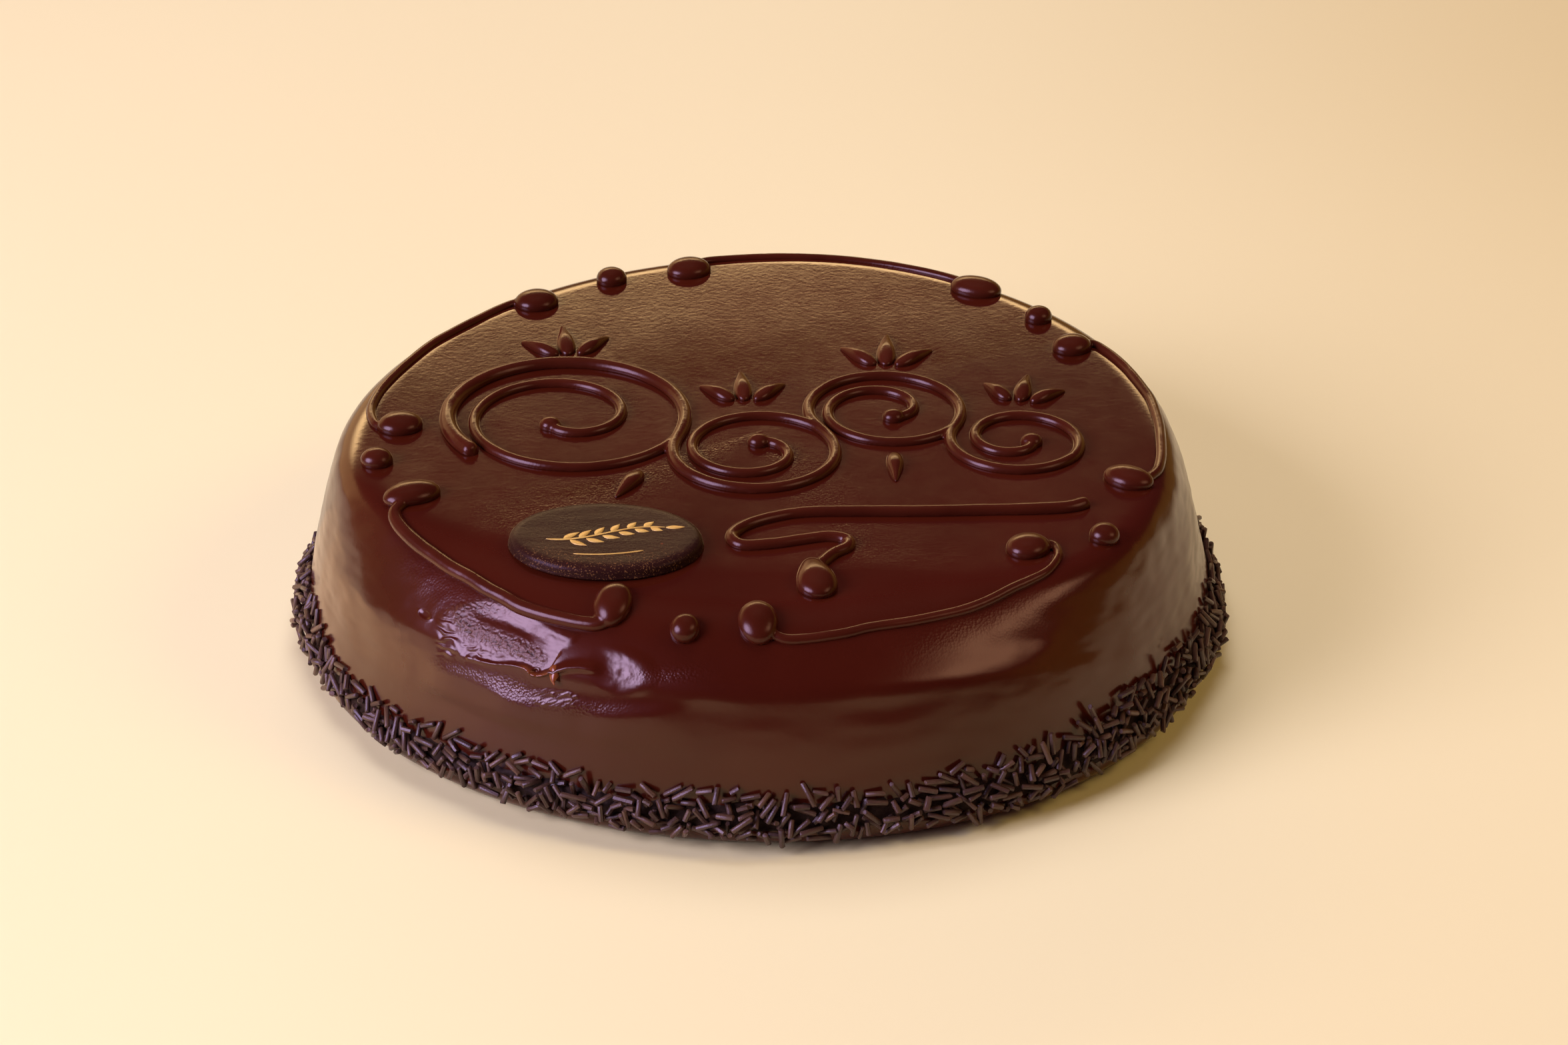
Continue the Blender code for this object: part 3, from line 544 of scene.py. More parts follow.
# ------------------------------------------------------------------ materials
class Nodes:
    """Short hand for building a material's nodes."""

    def __init__(self, name):
        self.mat = bpy.data.materials.new(name)
        self.mat.use_nodes = True
        self.t = self.mat.node_tree
        self.bsdf = self.t.nodes["Principled BSDF"]

    def add(self, kind, **props):
        nd = self.t.nodes.new(kind)
        for k, v in props.items():
            setattr(nd, k, v)
        return nd

    def link(self, a, b):
        self.t.links.new(a, b)

    def set(self, **vals):
        for k, v in vals.items():
            s = self.bsdf.inputs[k.replace("_", " ")]
            s.default_value = (*v, 1.0) if isinstance(v, tuple) and len(v) == 3 and s.type == "RGBA" else v

    def coords(self):
        return self.add("ShaderNodeTexCoord").outputs["Object"]

    def noise(self, scale, detail=2.0, rough=0.5, vec=None, stretch=None):
        nd = self.add("ShaderNodeTexNoise")
        nd.inputs["Scale"].default_value = scale
        nd.inputs["Detail"].default_value = detail
        nd.inputs["Roughness"].default_value = rough
        v = vec or self.coords()
        if stretch:
            m = self.add("ShaderNodeMapping")
            m.inputs["Scale"].default_value = stretch
            self.link(v, m.inputs["Vector"])
            v = m.outputs["Vector"]
        self.link(v, nd.inputs["Vector"])
        return nd.outputs["Fac"]

    def ramp(self, fac, stops):
        nd = self.add("ShaderNodeValToRGB")
        e = nd.color_ramp.elements
        while len(e) > 2:
            e.remove(e[-1])
        for i, (pos, col) in enumerate(stops):
            el = e[i] if i < 2 else e.new(pos)
            el.position = pos
            el.color = (*col, 1.0) if len(col) == 3 else col
        self.link(fac, nd.inputs["Fac"])
        return nd.outputs["Color"]

    def math(self, op, a, b=None, c=None, clamp=False):
        nd = self.add("ShaderNodeMath", operation=op, use_clamp=clamp)
        for i, val in enumerate((a, b, c)):
            if val is None:
                continue
            if isinstance(val, (int, float)):
                nd.inputs[i].default_value = val
            else:
                self.link(val, nd.inputs[i])
        return nd.outputs[0]

    def mix(self, fac, a, b):
        nd = self.add("ShaderNodeMix", data_type="RGBA")
        for sock, val in ((nd.inputs[0], fac), (nd.inputs[6], a), (nd.inputs[7], b)):
            if isinstance(val, (int, float)):
                sock.default_value = val
            elif isinstance(val, tuple):
                sock.default_value = (*val, 1.0)
            else:
                self.link(val, sock)
        return nd.outputs[2]

    def attr(self, name):
        return self.add("ShaderNodeAttribute", attribute_name=name).outputs["Fac"]

    def bump(self, height, strength, distance, after=None):
        nd = self.add("ShaderNodeBump")
        nd.inputs["Strength"].default_value = strength
        nd.inputs["Distance"].default_value = distance
        self.link(height, nd.inputs["Height"])
        if after is not None:
            self.link(after, nd.inputs["Normal"])
        return nd.outputs["Normal"]


def glaze_material():
    n = Nodes("glaze_looks")
    broad = n.noise(14.0, 3.0, 0.55)
    fine = n.noise(160.0, 3.0, 0.6)
    base = n.ramp(broad, ((0.35, (0.041, 0.0052, 0.0027)), (0.65, (0.054, 0.0072, 0.0040))))
    base = n.mix(n.math("MULTIPLY", n.attr("rough"), 0.40), base, (0.100, 0.040, 0.040))
    # painted highlight: bright orange along the lip and over the horn, standing in for the light they catch
    base = n.mix(n.math("MULTIPLY", n.attr("lip"), 0.80), base, (0.20, 0.048, 0.018))
    # painted shade: near black in the cracks and wrinkle creases, where shade falls
    base = n.mix(n.math("MULTIPLY", n.attr("crack"), 0.9), base, (0.010, 0.003, 0.003))
    n.link(base, n.bsdf.inputs["Base Color"])
    rough = n.math("MULTIPLY_ADD", fine, 0.05, 0.165)
    rough = n.math("SUBTRACT", rough, n.math("MULTIPLY", n.attr("level"), 0.085))
    rough = n.math("ADD", rough, n.math("MULTIPLY", n.attr("pebble"), 0.06))
    rough = n.math("ADD", rough, n.math("MULTIPLY", n.attr("rough"), 0.07))
    rough = n.math("ADD", rough, n.math("MULTIPLY", n.attr("torn"), 0.07))
    n.link(rough, n.bsdf.inputs["Roughness"])
    # orange peel, and pebbled patches where the glaze set full of fine bubbles
    peel = n.bump(n.noise(700.0, 3.0, 0.6), 0.035, 0.0005)
    cells = n.add("ShaderNodeTexVoronoi")
    cells.inputs["Scale"].default_value = 1500.0
    n.link(n.coords(), cells.inputs["Vector"])
    height = n.math("MULTIPLY", cells.outputs["Distance"], n.math("ADD", n.math("MULTIPLY", n.attr("pebble"), 0.9), 0.015))
    peel = n.bump(height, 0.40, 0.00035, peel)
    wrinkle = n.math("MULTIPLY", n.noise(900.0, 4.0, 0.65), n.attr("rough"))
    peel = n.bump(wrinkle, 0.5, 0.0006, peel)
    n.link(peel, n.bsdf.inputs["Normal"])
    n.bsdf.inputs["IOR"].default_value = 1.5
    n.bsdf.inputs["Specular IOR Level"].default_value = 0.44
    n.bsdf.inputs["Specular Tint"].default_value = (1.0, 0.86, 0.68, 1.0)
    return n.mat


def piping_material():
    n = Nodes("piping_looks")
    base = n.ramp(n.noise(60.0, 3.0, 0.5), ((0.35, (0.044, 0.0068, 0.0040)), (0.68, (0.058, 0.0096, 0.0058))))
    n.link(base, n.bsdf.inputs["Base Color"])
    n.link(n.math("MULTIPLY_ADD", n.noise(240.0, 3.0, 0.6), 0.08, 0.17), n.bsdf.inputs["Roughness"])
    b = n.bump(n.noise(420.0, 3.0, 0.55), 0.12, 0.0005)
    n.link(b, n.bsdf.inputs["Normal"])
    n.bsdf.inputs["IOR"].default_value = 1.5
    n.bsdf.inputs["Specular IOR Level"].default_value = 0.26
    n.bsdf.inputs["Specular Tint"].default_value = (1.0, 0.86, 0.68, 1.0)
    return n.mat


def plaque_material():
    n = Nodes("plaque_looks")
    base = n.ramp(n.noise(45.0, 4.0, 0.6), ((0.35, (0.020, 0.0062, 0.0072)), (0.7, (0.030, 0.0095, 0.0100))))
    speck = n.noise(2300.0, 2.0, 0.6)
    dust = n.math("MULTIPLY", n.math("GREATER_THAN", speck, 0.615), n.attr("dust"))
    base = n.mix(n.math("MULTIPLY", dust, 0.75), base, (0.30, 0.14, 0.065))
    red = n.math("GREATER_THAN", n.noise(700.0, 1.0, 0.4), 0.80)
    base = n.mix(n.math("MULTIPLY", red, 0.6), base, (0.20, 0.03, 0.015))
    n.link(base, n.bsdf.inputs["Base Color"])
    r = n.math("MULTIPLY_ADD", n.noise(300.0, 4.0, 0.65), 0.12, 0.22)
    r = n.math("ADD", r, n.math("MULTIPLY", dust, 0.25))
    n.link(r, n.bsdf.inputs["Roughness"])
    b = n.bump(n.noise(1100.0, 3.0, 0.6), 0.16, 0.0004)
    b = n.bump(n.noise(60.0, 2.0, 0.5, stretch=(1, 5, 1)), 0.10, 0.0008, b)
    n.link(b, n.bsdf.inputs["Normal"])
    n.bsdf.inputs["IOR"].default_value = 1.42
    n.bsdf.inputs["Specular IOR Level"].default_value = 0.07
    return n.mat


def gold_material():
    n = Nodes("gold_looks")
    base = n.ramp(n.noise(400.0, 3.0, 0.6), ((0.3, (0.62, 0.36, 0.105)), (0.7, (0.80, 0.54, 0.20))))
    n.link(base, n.bsdf.inputs["Base Color"])
    n.bsdf.inputs["Metallic"].default_value = 0.25
    n.link(n.math("MULTIPLY_ADD", n.noise(900.0, 2.0, 0.6), 0.2, 0.36), n.bsdf.inputs["Roughness"])
    n.link(n.bump(n.noise(1500.0, 2.0, 0.5), 0.15, 0.0003), n.bsdf.inputs["Normal"])
    return n.mat


def sprinkle_material(name="sprinkle_looks", dark=1.0):
    n = Nodes(name)
    tone = n.attr("tone")
    base = n.ramp(tone, ((0.0, (0.024 * dark, 0.0085 * dark, 0.0065 * dark)), (0.55, (0.048 * dark, 0.019 * dark, 0.0135 * dark)),
                         (1.0, (0.095 * dark, 0.044 * dark, 0.030 * dark))))
    base = n.mix(n.math("MULTIPLY", n.noise(1400.0, 3.0, 0.6), 0.35), base, (0.115, 0.062, 0.052))
    n.link(base, n.bsdf.inputs["Base Color"])
    r = n.math("MULTIPLY_ADD", n.noise(1600.0, 2.0, 0.6), 0.22, 0.25)
    r = n.math("ADD", r, n.math("MULTIPLY", n.attr("end"), 0.2))
    n.link(r, n.bsdf.inputs["Roughness"])
    b = n.bump(n.noise(2600.0, 3.0, 0.6), 0.35, 0.0003)
    n.link(b, n.bsdf.inputs["Normal"])
    n.bsdf.inputs["IOR"].default_value = 1.5
    return n.mat


def floor_material():
    n = Nodes("floor_looks")
    base = n.ramp(n.noise(1.5, 2.0, 0.5), ((0.3, (0.86, 0.765, 0.60)), (0.7, (0.88, 0.79, 0.625))))
    # painted shade: a darker, yellower area of the ground behind the cake on the right, where less light reaches
    far = n.add("ShaderNodeVectorMath", operation="DISTANCE")
    n.link(n.add("ShaderNodeNewGeometry").outputs["Position"], far.inputs[0])
    far.inputs[1].default_value = (0.46, 0.42, 0.0)
    near = n.add("ShaderNodeMapRange", interpolation_type="SMOOTHSTEP")
    near.inputs["From Min"].default_value = 0.08
    near.inputs["From Max"].default_value = 0.50
    near.inputs["To Min"].default_value = 0.85
    near.inputs["To Max"].default_value = 0.0
    n.link(far.outputs["Value"], near.inputs["Value"])
    base = n.mix(near.outputs["Result"], base, (0.70, 0.575, 0.385))
    n.link(base, n.bsdf.inputs["Base Color"])
    n.bsdf.inputs["Roughness"].default_value = 0.75
    n.bsdf.inputs["Specular IOR Level"].default_value = 0.2
    return n.mat


# ------------------------------------------------------------------ camera
LENS = 100.0
cam_data = bpy.data.cameras.new("camera")
cam_data.lens = LENS
cam_data.sensor_width = 36.0
cam_data.clip_start, cam_data.clip_end = 0.01, 60.0
camera = bpy.data.objects.new("camera", cam_data)
bpy.context.scene.collection.objects.link(camera)
CAM_AT = Vector((4.632, -997.803, 568.529)) * MM
fwd = Vector((0.0, 0.87839223, -0.47794047))
right = Vector((0.9999315, 0.00559397, 0.01028098))
up = Vector((-0.01170432, 0.47790774, 0.87833206))
camera.matrix_world = Matrix((
    (right.x, up.x, -fwd.x, CAM_AT.x),
    (right.y, up.y, -fwd.y, CAM_AT.y),
    (right.z, up.z, -fwd.z, CAM_AT.z),
    (0, 0, 0, 1)))
bpy.context.scene.camera = camera
bpy.context.scene.view_settings.view_transform = "Standard"

# ------------------------------------------------------------------ floor, world and lights
floor_me = mesh_from("floor", [(-6000, -6000, 0), (6000, -6000, 0), (6000, 6000, 0), (-6000, 6000, 0)], [(0, 1, 2, 3)])
floor = bpy.data.objects.new("floor", floor_me)
bpy.context.scene.collection.objects.link(floor)
floor_me.materials.append(floor_material())

world = bpy.data.worlds.new("studio")
bpy.context.scene.world = world
world.use_nodes = True
wt = world.node_tree
bg = wt.nodes["Background"]
coord = wt.nodes.new("ShaderNodeTexCoord")
sep = wt.nodes.new("ShaderNodeSeparateXYZ")
wt.links.new(coord.outputs["Generated"], sep.inputs[0])


def wmath(op, a, b=None, clamp=False):
    nd = wt.nodes.new("ShaderNodeMath")
    nd.operation = op
    nd.use_clamp = clamp
    for i, val in enumerate((a, b)):
        if val is None:
            continue
        if isinstance(val, (int, float)):
            nd.inputs[i].default_value = val
        else:
            wt.links.new(val, nd.inputs[i])
    return nd.outputs[0]


def wstep(value, lo, hi):
    nd = wt.nodes.new("ShaderNodeMapRange")
    nd.interpolation_type = "SMOOTHSTEP"
    nd.inputs["From Min"].default_value = lo
    nd.inputs["From Max"].default_value = hi
    wt.links.new(value, nd.inputs["Value"])
    return nd.outputs["Result"]


# pale walls up to a soft edge, darker room above them and in front of the cake
elev_edge = wmath("ADD", wmath("MULTIPLY", sep.outputs["X"], -0.11), 0.4085)
wall_low = wmath("SUBTRACT", 1.0, wstep(wmath("SUBTRACT", sep.outputs["Z"], elev_edge), -0.012, 0.012))
in_front = wmath("SUBTRACT", 1.0, wstep(sep.outputs["Y"], -0.62, -0.25))
level = wmath("MULTIPLY", wall_low, wmath("SUBTRACT", 1.0, in_front))
# a brighter patch low down behind the cake, which the flat top mirrors
side_x = wmath("ABSOLUTE", wmath("ADD", sep.outputs["X"], 0.05))
patch = wmath("MULTIPLY", wmath("SUBTRACT", 1.0, wstep(side_x, 0.13, 0.41)), wstep(sep.outputs["Y"], 0.5, 0.8))
patch = wmath("MULTIPLY", patch, wstep(sep.outputs["Z"], 0.25, 0.40))
pale = wt.nodes.new("ShaderNodeMix")
pale.data_type = "RGBA"
flank = wt.nodes.new("ShaderNodeMix")
flank.data_type = "RGBA"
# a softly lit wall to the left behind the cake
left_back = wmath("MULTIPLY", wstep(wmath("MULTIPLY", sep.outputs["X"], -1.0), 0.10, 0.30), wstep(sep.outputs["Y"], 0.3, 0.7))
lit = wt.nodes.new("ShaderNodeMix")
lit.data_type = "RGBA"
lit.inputs[6].default_value = (0.26, 0.155, 0.072, 1.0)
lit.inputs[7].default_value = (1.35, 0.80, 0.36, 1.0)
wt.links.new(left_back, lit.inputs[0])
wt.links.new(lit.outputs[2], flank.inputs[6])
flank.inputs[7].default_value = (0.40, 0.215, 0.045, 1.0)
wt.links.new(wstep(sep.outputs["X"], -0.3, 0.3), flank.inputs[0])
wt.links.new(flank.outputs[2], pale.inputs[6])
pale.inputs[7].default_value = (8.4, 5.6, 2.7, 1.0)
wt.links.new(patch, pale.inputs[0])
mixc = wt.nodes.new("ShaderNodeMix")
mixc.data_type = "RGBA"
mixc.inputs[6].default_value = (0.032, 0.009, 0.024, 1.0)
wt.links.new(pale.outputs[2], mixc.inputs[7])
wt.links.new(level, mixc.inputs[0])
wt.links.new(mixc.outputs[2], bg.inputs["Color"])
bg.inputs["Strength"].default_value = 1.0


def area(name, at, size, power, colour, aim=(0, 0, 40), glossy=True, diffuse=True):
    """A soft light; its shine and its diffuse light can be set by separate lights."""
    li = bpy.data.lights.new(name, "AREA")
    li.shape = "RECTANGLE"
    li.size, li.size_y = size[0] * MM, size[1] * MM
    li.energy = power
    li.color = colour
    ob = bpy.data.objects.new(name, li)
    bpy.context.scene.collection.objects.link(ob)
    ob.location = Vector(at) * MM
    d = (Vector(aim) - Vector(at)).normalized()
    ob.rotation_mode = "QUATERNION"
    ob.rotation_quaternion = d.to_track_quat("-Z", "Y")
    ob.visible_camera = False
    ob.visible_glossy = glossy
    ob.visible_diffuse = diffuse
    return ob


area("key", (-1140, -640, 710), (800, 800), 23.4, (1.0, 0.90, 0.86), glossy=False)
for k, (size, power) in enumerate(((960, 7.5), (780, 6.5), (600, 4.5))):
    area("key_shine_%d" % k, (-950 + 4 * k, -533 + 2 * k, 600), (size, size), power, (0.91, 0.79, 1.58), diffuse=False).data.shape = "ELLIPSE"
area("warm", (1200, -100, 1100), (600, 600), 6.5, (1.0, 0.72, 0.20), glossy=False)
for k, (q, power) in enumerate(((1.0, 1.35), (0.72, 0.80), (0.45, 0.45))):
    area("warm_shine_%d" % k, (900 - 3 * k, -430, 830 - 3 * k), (860 * q, 700 * q), power, (1.0, 0.60, 0.42), diffuse=False).data.shape = "ELLIPSE"
area("fill", (-150, 900, 2000), (1400, 1400), 25.4, (1.0, 0.94, 0.85), glossy=False)
# pale ground close by on the left, in soft steps
for k, (sx, sy) in enumerate(((230, 240), (180, 180), (120, 120))):
    area("left_bounce_%d" % k, (-222 + 4 * k, -40, 2 + k), (sx, sy), 0.34 * math.pi * sx * sy * 1e-6, (1.0, 0.57, 0.27),
         aim=(-222 + 4 * k, -40, 500), diffuse=False).data.shape = "ELLIPSE"

# ------------------------------------------------------------------ body
glaze = glaze_material()
verts, quads, tris, attrs = make_body_mesh()
body_me = mesh_from("glazed_body", verts, quads, tris, attrs)
body = add_object("glazed_body", body_me, glaze, "glaze", "cake_body")


# ------------------------------------------------------------------ height of the glaze under the piping
GLAZE_W = np.linspace(0, 1, 41)
GLAZE_RHO = np.linspace(40, 119, 1581)
GLAZE_TABLE = []
for w_ in GLAZE_W:
    (sa, ra_, za_), (sb, rb_, zb_) = sample_profile(2)
    f_ = np.linspace(0, 1, 3000)
    rr_ = np.interp(f_, sa / sa[-1], ra_) * (1 - w_) + np.interp(f_, sb / sb[-1], rb_) * w_
    zz_ = np.interp(f_, sa / sa[-1], za_) * (1 - w_) + np.interp(f_, sb / sb[-1], zb_) * w_
    GLAZE_TABLE.append(np.interp(GLAZE_RHO, rr_[::-1], zz_[::-1], left=HEIGHT))
GLAZE_TABLE = np.array(GLAZE_TABLE)


def glaze_z(x, y):
    """Height of the visual glaze at plan points, from the blended profile."""
    x = np.asarray(x, float) - TOP_SHIFT[0]
    y = np.asarray(y, float) - TOP_SHIFT[1]
    a = np.arctan2(y, x)
    rho = np.hypot(x, y) / lobes(a)
    w = roundness(np.degrees(a) % 360.0) * 40.0
    i = np.clip(w.astype(int), 0, 39)
    q = np.clip((rho - 40.0) / 0.05, 0, 1579.999)
    j = q.astype(int)
    t, u = w - i, q - j
    g = GLAZE_TABLE
    return ((g[i, j] * (1 - u) + g[i, j + 1] * u) * (1 - t) + (g[i + 1, j] * (1 - u) + g[i + 1, j + 1] * u) * t)


SINK = 0.25   # how far the piping is let into the glaze


def meridian(w):
    """Distance in from the foot along the blended profile, with its radius, height and tilt."""
    f = np.linspace(0, 1, 1400)
    rows_ = []
    for r, z, tilt in (SHARP, ROUND):
        q = np.concatenate([[0], np.cumsum(np.hypot(np.diff(r), np.diff(z)))])
        rows_.append((np.interp(f, q / q[-1], r), np.interp(f, q / q[-1], z)))
    r = rows_[0][0] * (1 - w) + rows_[1][0] * w
    z = rows_[0][1] * (1 - w) + rows_[1][1] * w
    r = np.concatenate([r, np.linspace(r[-1], 0, 400)[1:]])
    z = np.concatenate([z, np.full(399, HEIGHT)])
    q = np.concatenate([[0], np.cumsum(np.hypot(np.diff(r), np.diff(z)))])
    tilt = np.arctan2(-np.gradient(r, q), np.gradient(z, q))
    return q, r, z, tilt


def slope_at(x, y):
    """Outward plan direction and tilt (0 upright wall, 90 degrees flat top) under plan points."""
    px = np.asarray(x, float) - TOP_SHIFT[0]
    py = np.asarray(y, float) - TOP_SHIFT[1]
    e = 0.15
    gx = (glaze_z(x + e, y) - glaze_z(x - e, y)) / (2 * e)
    gy = (glaze_z(x, y + e) - glaze_z(x, y - e)) / (2 * e)
    n_ = np.stack([-gx, -gy, np.ones_like(gx)], -1)
    return n_ / np.linalg.norm(n_, axis=-1, keepdims=True)


def settle(v, anchor=None):
    """Lays piping on the glaze: plan points raised along the slope's normal. A drop with an
    anchor is wrapped over the edge instead, so it keeps its size on a slope."""
    v = np.array(v, float)
    if anchor is None:
        x, y = v[:, 0].copy(), v[:, 1].copy()
        n_ = slope_at(x, y)
        h = v[:, 2] - SINK
        return np.stack([x, y, glaze_z(x, y)], -1) + n_ * h[:, None]
    ax, ay = anchor[0] - TOP_SHIFT[0], anchor[1] - TOP_SHIFT[1]
    a0 = math.atan2(ay, ax)
    w = float(roundness(np.degrees(a0) % 360.0))
    q, r, z, tilt = meridian(w)
    lob = float(lobes(a0))
    rho0 = math.hypot(ax, ay) / lob
    q0 = float(np.interp(-rho0, -r, q))
    dx, dy = v[:, 0] - anchor[0], v[:, 1] - anchor[1]
    u = dx * math.cos(a0) + dy * math.sin(a0)
    t = -dx * math.sin(a0) + dy * math.cos(a0)
    qq = q0 - u
    rr = np.interp(qq, q, r) * lob
    zz = np.interp(qq, q, z)
    tt = np.interp(qq, q, tilt)
    h = v[:, 2] - SINK
    rr = rr + np.cos(tt) * h
    zz = zz + np.sin(tt) * h
    # straight across, so a drop keeps its width
    x = rr * math.cos(a0) - t * math.sin(a0) + TOP_SHIFT[0]
    y = rr * math.sin(a0) + t * math.cos(a0) + TOP_SHIFT[1]
    zz = zz - np.minimum(t * t / (2 * 110.0), 0.4) * np.cos(tt)
    return np.stack([x, y, zz], -1)


# ------------------------------------------------------------------ piping strokes
def cad_z(x, y):
    """Height of the CAD model's glaze at plan points."""
    px, py = np.asarray(x, float) - TOP_SHIFT[0], np.asarray(y, float) - TOP_SHIFT[1]
    rho = np.hypot(px, py) / lobes(np.arctan2(py, px))
    t = np.clip((rho - (SHOULDER_R - SHOULDER_W)) / SHOULDER_W, 0, 1)
    return SHOULDER_Z + SHOULDER_H * (1 - t ** SHOULDER_POWER) ** (1 / SHOULDER_POWER)


def reseat(x, y, lift=1.0):
    """Plan place on this glaze that looks the same from the front as (x, y) on the CAD model's."""
    if y > 45.0:
        return x, y
    p = np.array([x, y, float(cad_z(x, y)) + lift])
    d = (p - EYE) / np.linalg.norm(p - EYE)
    best = p
    for t in np.linspace(-1.5, 9.0, 106):
        c = p + d * t
        n_ = slope_at(np.array([c[0]]), np.array([c[1]]))[0]
        if c[2] <= float(glaze_z(c[0], c[1])) + lift / max(0.35, n_[2]) * 1.0:
            best = c
            break
        best = c
    n_ = slope_at(np.array([best[0]]), np.array([best[1]]))[0]
    t = float(smoothstep((45.0 - y) / 30.0))
    return x + t * (best[0] - n_[0] * lift - x), y + t * (best[1] - n_[1] * lift - y)


def smooth_path(points, step):
    p = np.asarray(points, float)
    p = np.vstack([2 * p[0] - p[1], p, 2 * p[-1] - p[-2]])
    fine = []
    for p0, p1, p2, p3 in zip(p, p[1:], p[2:], p[3:]):
        t = (np.arange(24) / 24.0)[:, None]
        fine.append(0.5 * (2 * p1 + (p2 - p0) * t + (2 * p0 - 5 * p1 + 4 * p2 - p3) * t ** 2
                           + (3 * p1 - p0 - 3 * p2 + p3) * t ** 3))
    fine = np.vstack(fine + [p[-2][None]])
    for _ in range(10):
        fine[1:-1] = 0.25 * fine[:-2] + 0.5 * fine[1:-1] + 0.25 * fine[2:]
    return resample(fine, step)


def resample(fine, step):
    fine = np.asarray(fine, float)
    s = np.concatenate([[0], np.cumsum(np.hypot(*np.diff(fine, axis=0).T))])
    count = max(4, int(round(s[-1] / step)))
    q = np.linspace(0, s[-1], count + 1)
    return np.stack([np.interp(q, s, fine[:, 0]), np.interp(q, s, fine[:, 1])], 1)


def bead(path, width, height=0.62, start=1.0, end=1.0, tip0=True, tip1=True, seed=0, wobble=0.05, sides=14):
    """A piped bead as verts and faces: a round-topped section swept along a plan path."""
    p = np.asarray(path, float)
    t = np.gradient(p, axis=0)
    t /= np.linalg.norm(t, axis=1, keepdims=True) + 1e-9
    side = np.stack([-t[:, 1], t[:, 0]], 1)
    s = np.concatenate([[0], np.cumsum(np.hypot(*np.diff(p, axis=0).T))])
    f = s / s[-1]
    w = width * (1 + (start - 1) * (1 - f) ** 3 + (end - 1) * f ** 3)
    w = w * (1 + wobble * fbm(np.stack([s / 9.0, 0 * s + seed, 0 * s], 1), 2, 61 + seed))
    for on, dist in ((tip0, s), (tip1, s[-1] - s)):
        if on:
            k = np.clip(dist / (0.5 * w), 0, 1)
            w = w * np.maximum(0.08, np.sqrt(1 - (1 - k) ** 2))
    rings = []
    ang = np.linspace(0, 2 * np.pi, sides, endpoint=False)
    for i in range(len(p)):
        h = 0.5 * w[i]
        c, z = np.cos(ang), np.sin(ang)
        # round above, shallow below; the widest line sits a little above the glaze
        zz = np.where(z > 0, z * w[i] * height * 0.86, z * 0.55) + w[i] * height * 0.14
        xy = p[i][None] + side[i][None] * (h * c)[:, None]
        rings.append(np.column_stack([xy, zz]))
    v = np.vstack(rings)
    n, m = len(p), sides
    idx = np.arange(n * m).reshape(n, m)
    nxt = np.roll(idx, -1, axis=1)
    q = np.stack([idx[:-1], nxt[:-1], nxt[1:], idx[1:]], -1).reshape(-1, 4)[:, ::-1]
    c0, c1 = len(v), len(v) + 1
    v = np.vstack([v, rings[0].mean(0)[None], rings[-1].mean(0)[None]])
    tr = np.vstack([np.stack([nxt[0], idx[0], np.full(m, c0)], -1)[:, ::-1], np.stack([idx[-1], nxt[-1], np.full(m, c1)], -1)[:, ::-1]])
    return v, q, tr


def drop(x, y, a, b, h, turn_deg=0.0, tail=0.0, seed=0, sides=36):
    """A piped drop: a dome with steep sides that tuck in a little at the glaze."""
    ca, sa = math.cos(math.radians(turn_deg)), math.sin(math.radians(turn_deg))
    ang = np.linspace(0, 2 * np.pi, sides, endpoint=False)
    levels = [(-0.10, 0.90), (0.0, 0.955), (0.10, 0.992), (0.22, 1.0)]
    for e in np.linspace(12, 84, 9):
        levels.append((0.22 + 0.78 * math.sin(math.radians(e)), math.cos(math.radians(e)) ** 0.92))
    rings = []
    uneven = 1 + 0.03 * noise3(np.stack([np.cos(ang) * 1.1 + seed * 3.1, np.sin(ang) * 1.1, 0 * ang], 1), 71)
    for z, k in levels:
        u = a * k * np.cos(ang) * uneven
        v = b * k * np.sin(ang) * uneven
        if tail > 0:
            v = v * (1 - tail * smoothstep(0.5 + 0.5 * np.cos(ang)) * 0.8)
            zz = h * z * (1 - 0.45 * tail * smoothstep((u / a + 0.2) / 1.2)) if z > 0 else np.full(sides, h * z)
        else:
            zz = np.full(sides, h * z)
        rings.append(np.column_stack([x + u * ca - v * sa, y + u * sa + v * ca, zz]))
    v = np.vstack(rings)
    n, m = len(levels), sides
    idx = np.arange(n * m).reshape(n, m)
    nxt = np.roll(idx, -1, axis=1)
    q = np.stack([idx[:-1], nxt[:-1], nxt[1:], idx[1:]], -1).reshape(-1, 4)
    c0, c1 = len(v), len(v) + 1
    topc = rings[-1].mean(0) + np.array([0, 0, h * 0.004])
    v = np.vstack([v, rings[0].mean(0)[None], topc[None]])
    tr = np.vstack([np.stack([nxt[0], idx[0], np.full(m, c0)], -1), np.stack([idx[-1], nxt[-1], np.full(m, c1)], -1)])
    if math.hypot(x, y) > 88.0:
        return v, q, tr, (x, y)
    return v, q, tr


def fused(name, parts, mat, slot, replaced, voxel=0.30, smooth=5):
    """Beads and drops melted into one skin: voxel remesh, then a little smoothing."""
    vs, qs, ts, off = [], [], [], 0
    for v, q, t, *anchor in parts:
        v = settle(v, anchor[0] if anchor else None)
        vs.append(v)
        qs.append(q + off)
        ts.append(t + off)
        off += len(v)
    me = mesh_from(name, np.vstack(vs), np.vstack(qs), np.vstack(ts))
    ob = bpy.data.objects.new(name, me)
    bpy.context.scene.collection.objects.link(ob)
    rm = ob.modifiers.new("melt", "REMESH")
    rm.mode = "VOXEL"
    rm.voxel_size = voxel * MM
    sm = ob.modifiers.new("soften", "SMOOTH")
    sm.factor = 0.5
    sm.iterations = smooth
    dg = bpy.context.evaluated_depsgraph_get()
    out = bpy.data.meshes.new_from_object(ob.evaluated_get(dg))
    out.name = name
    bpy.data.objects.remove(ob, do_unlink=True)
    out.shade_smooth()
    return add_object(name, out, mat, slot, *replaced)


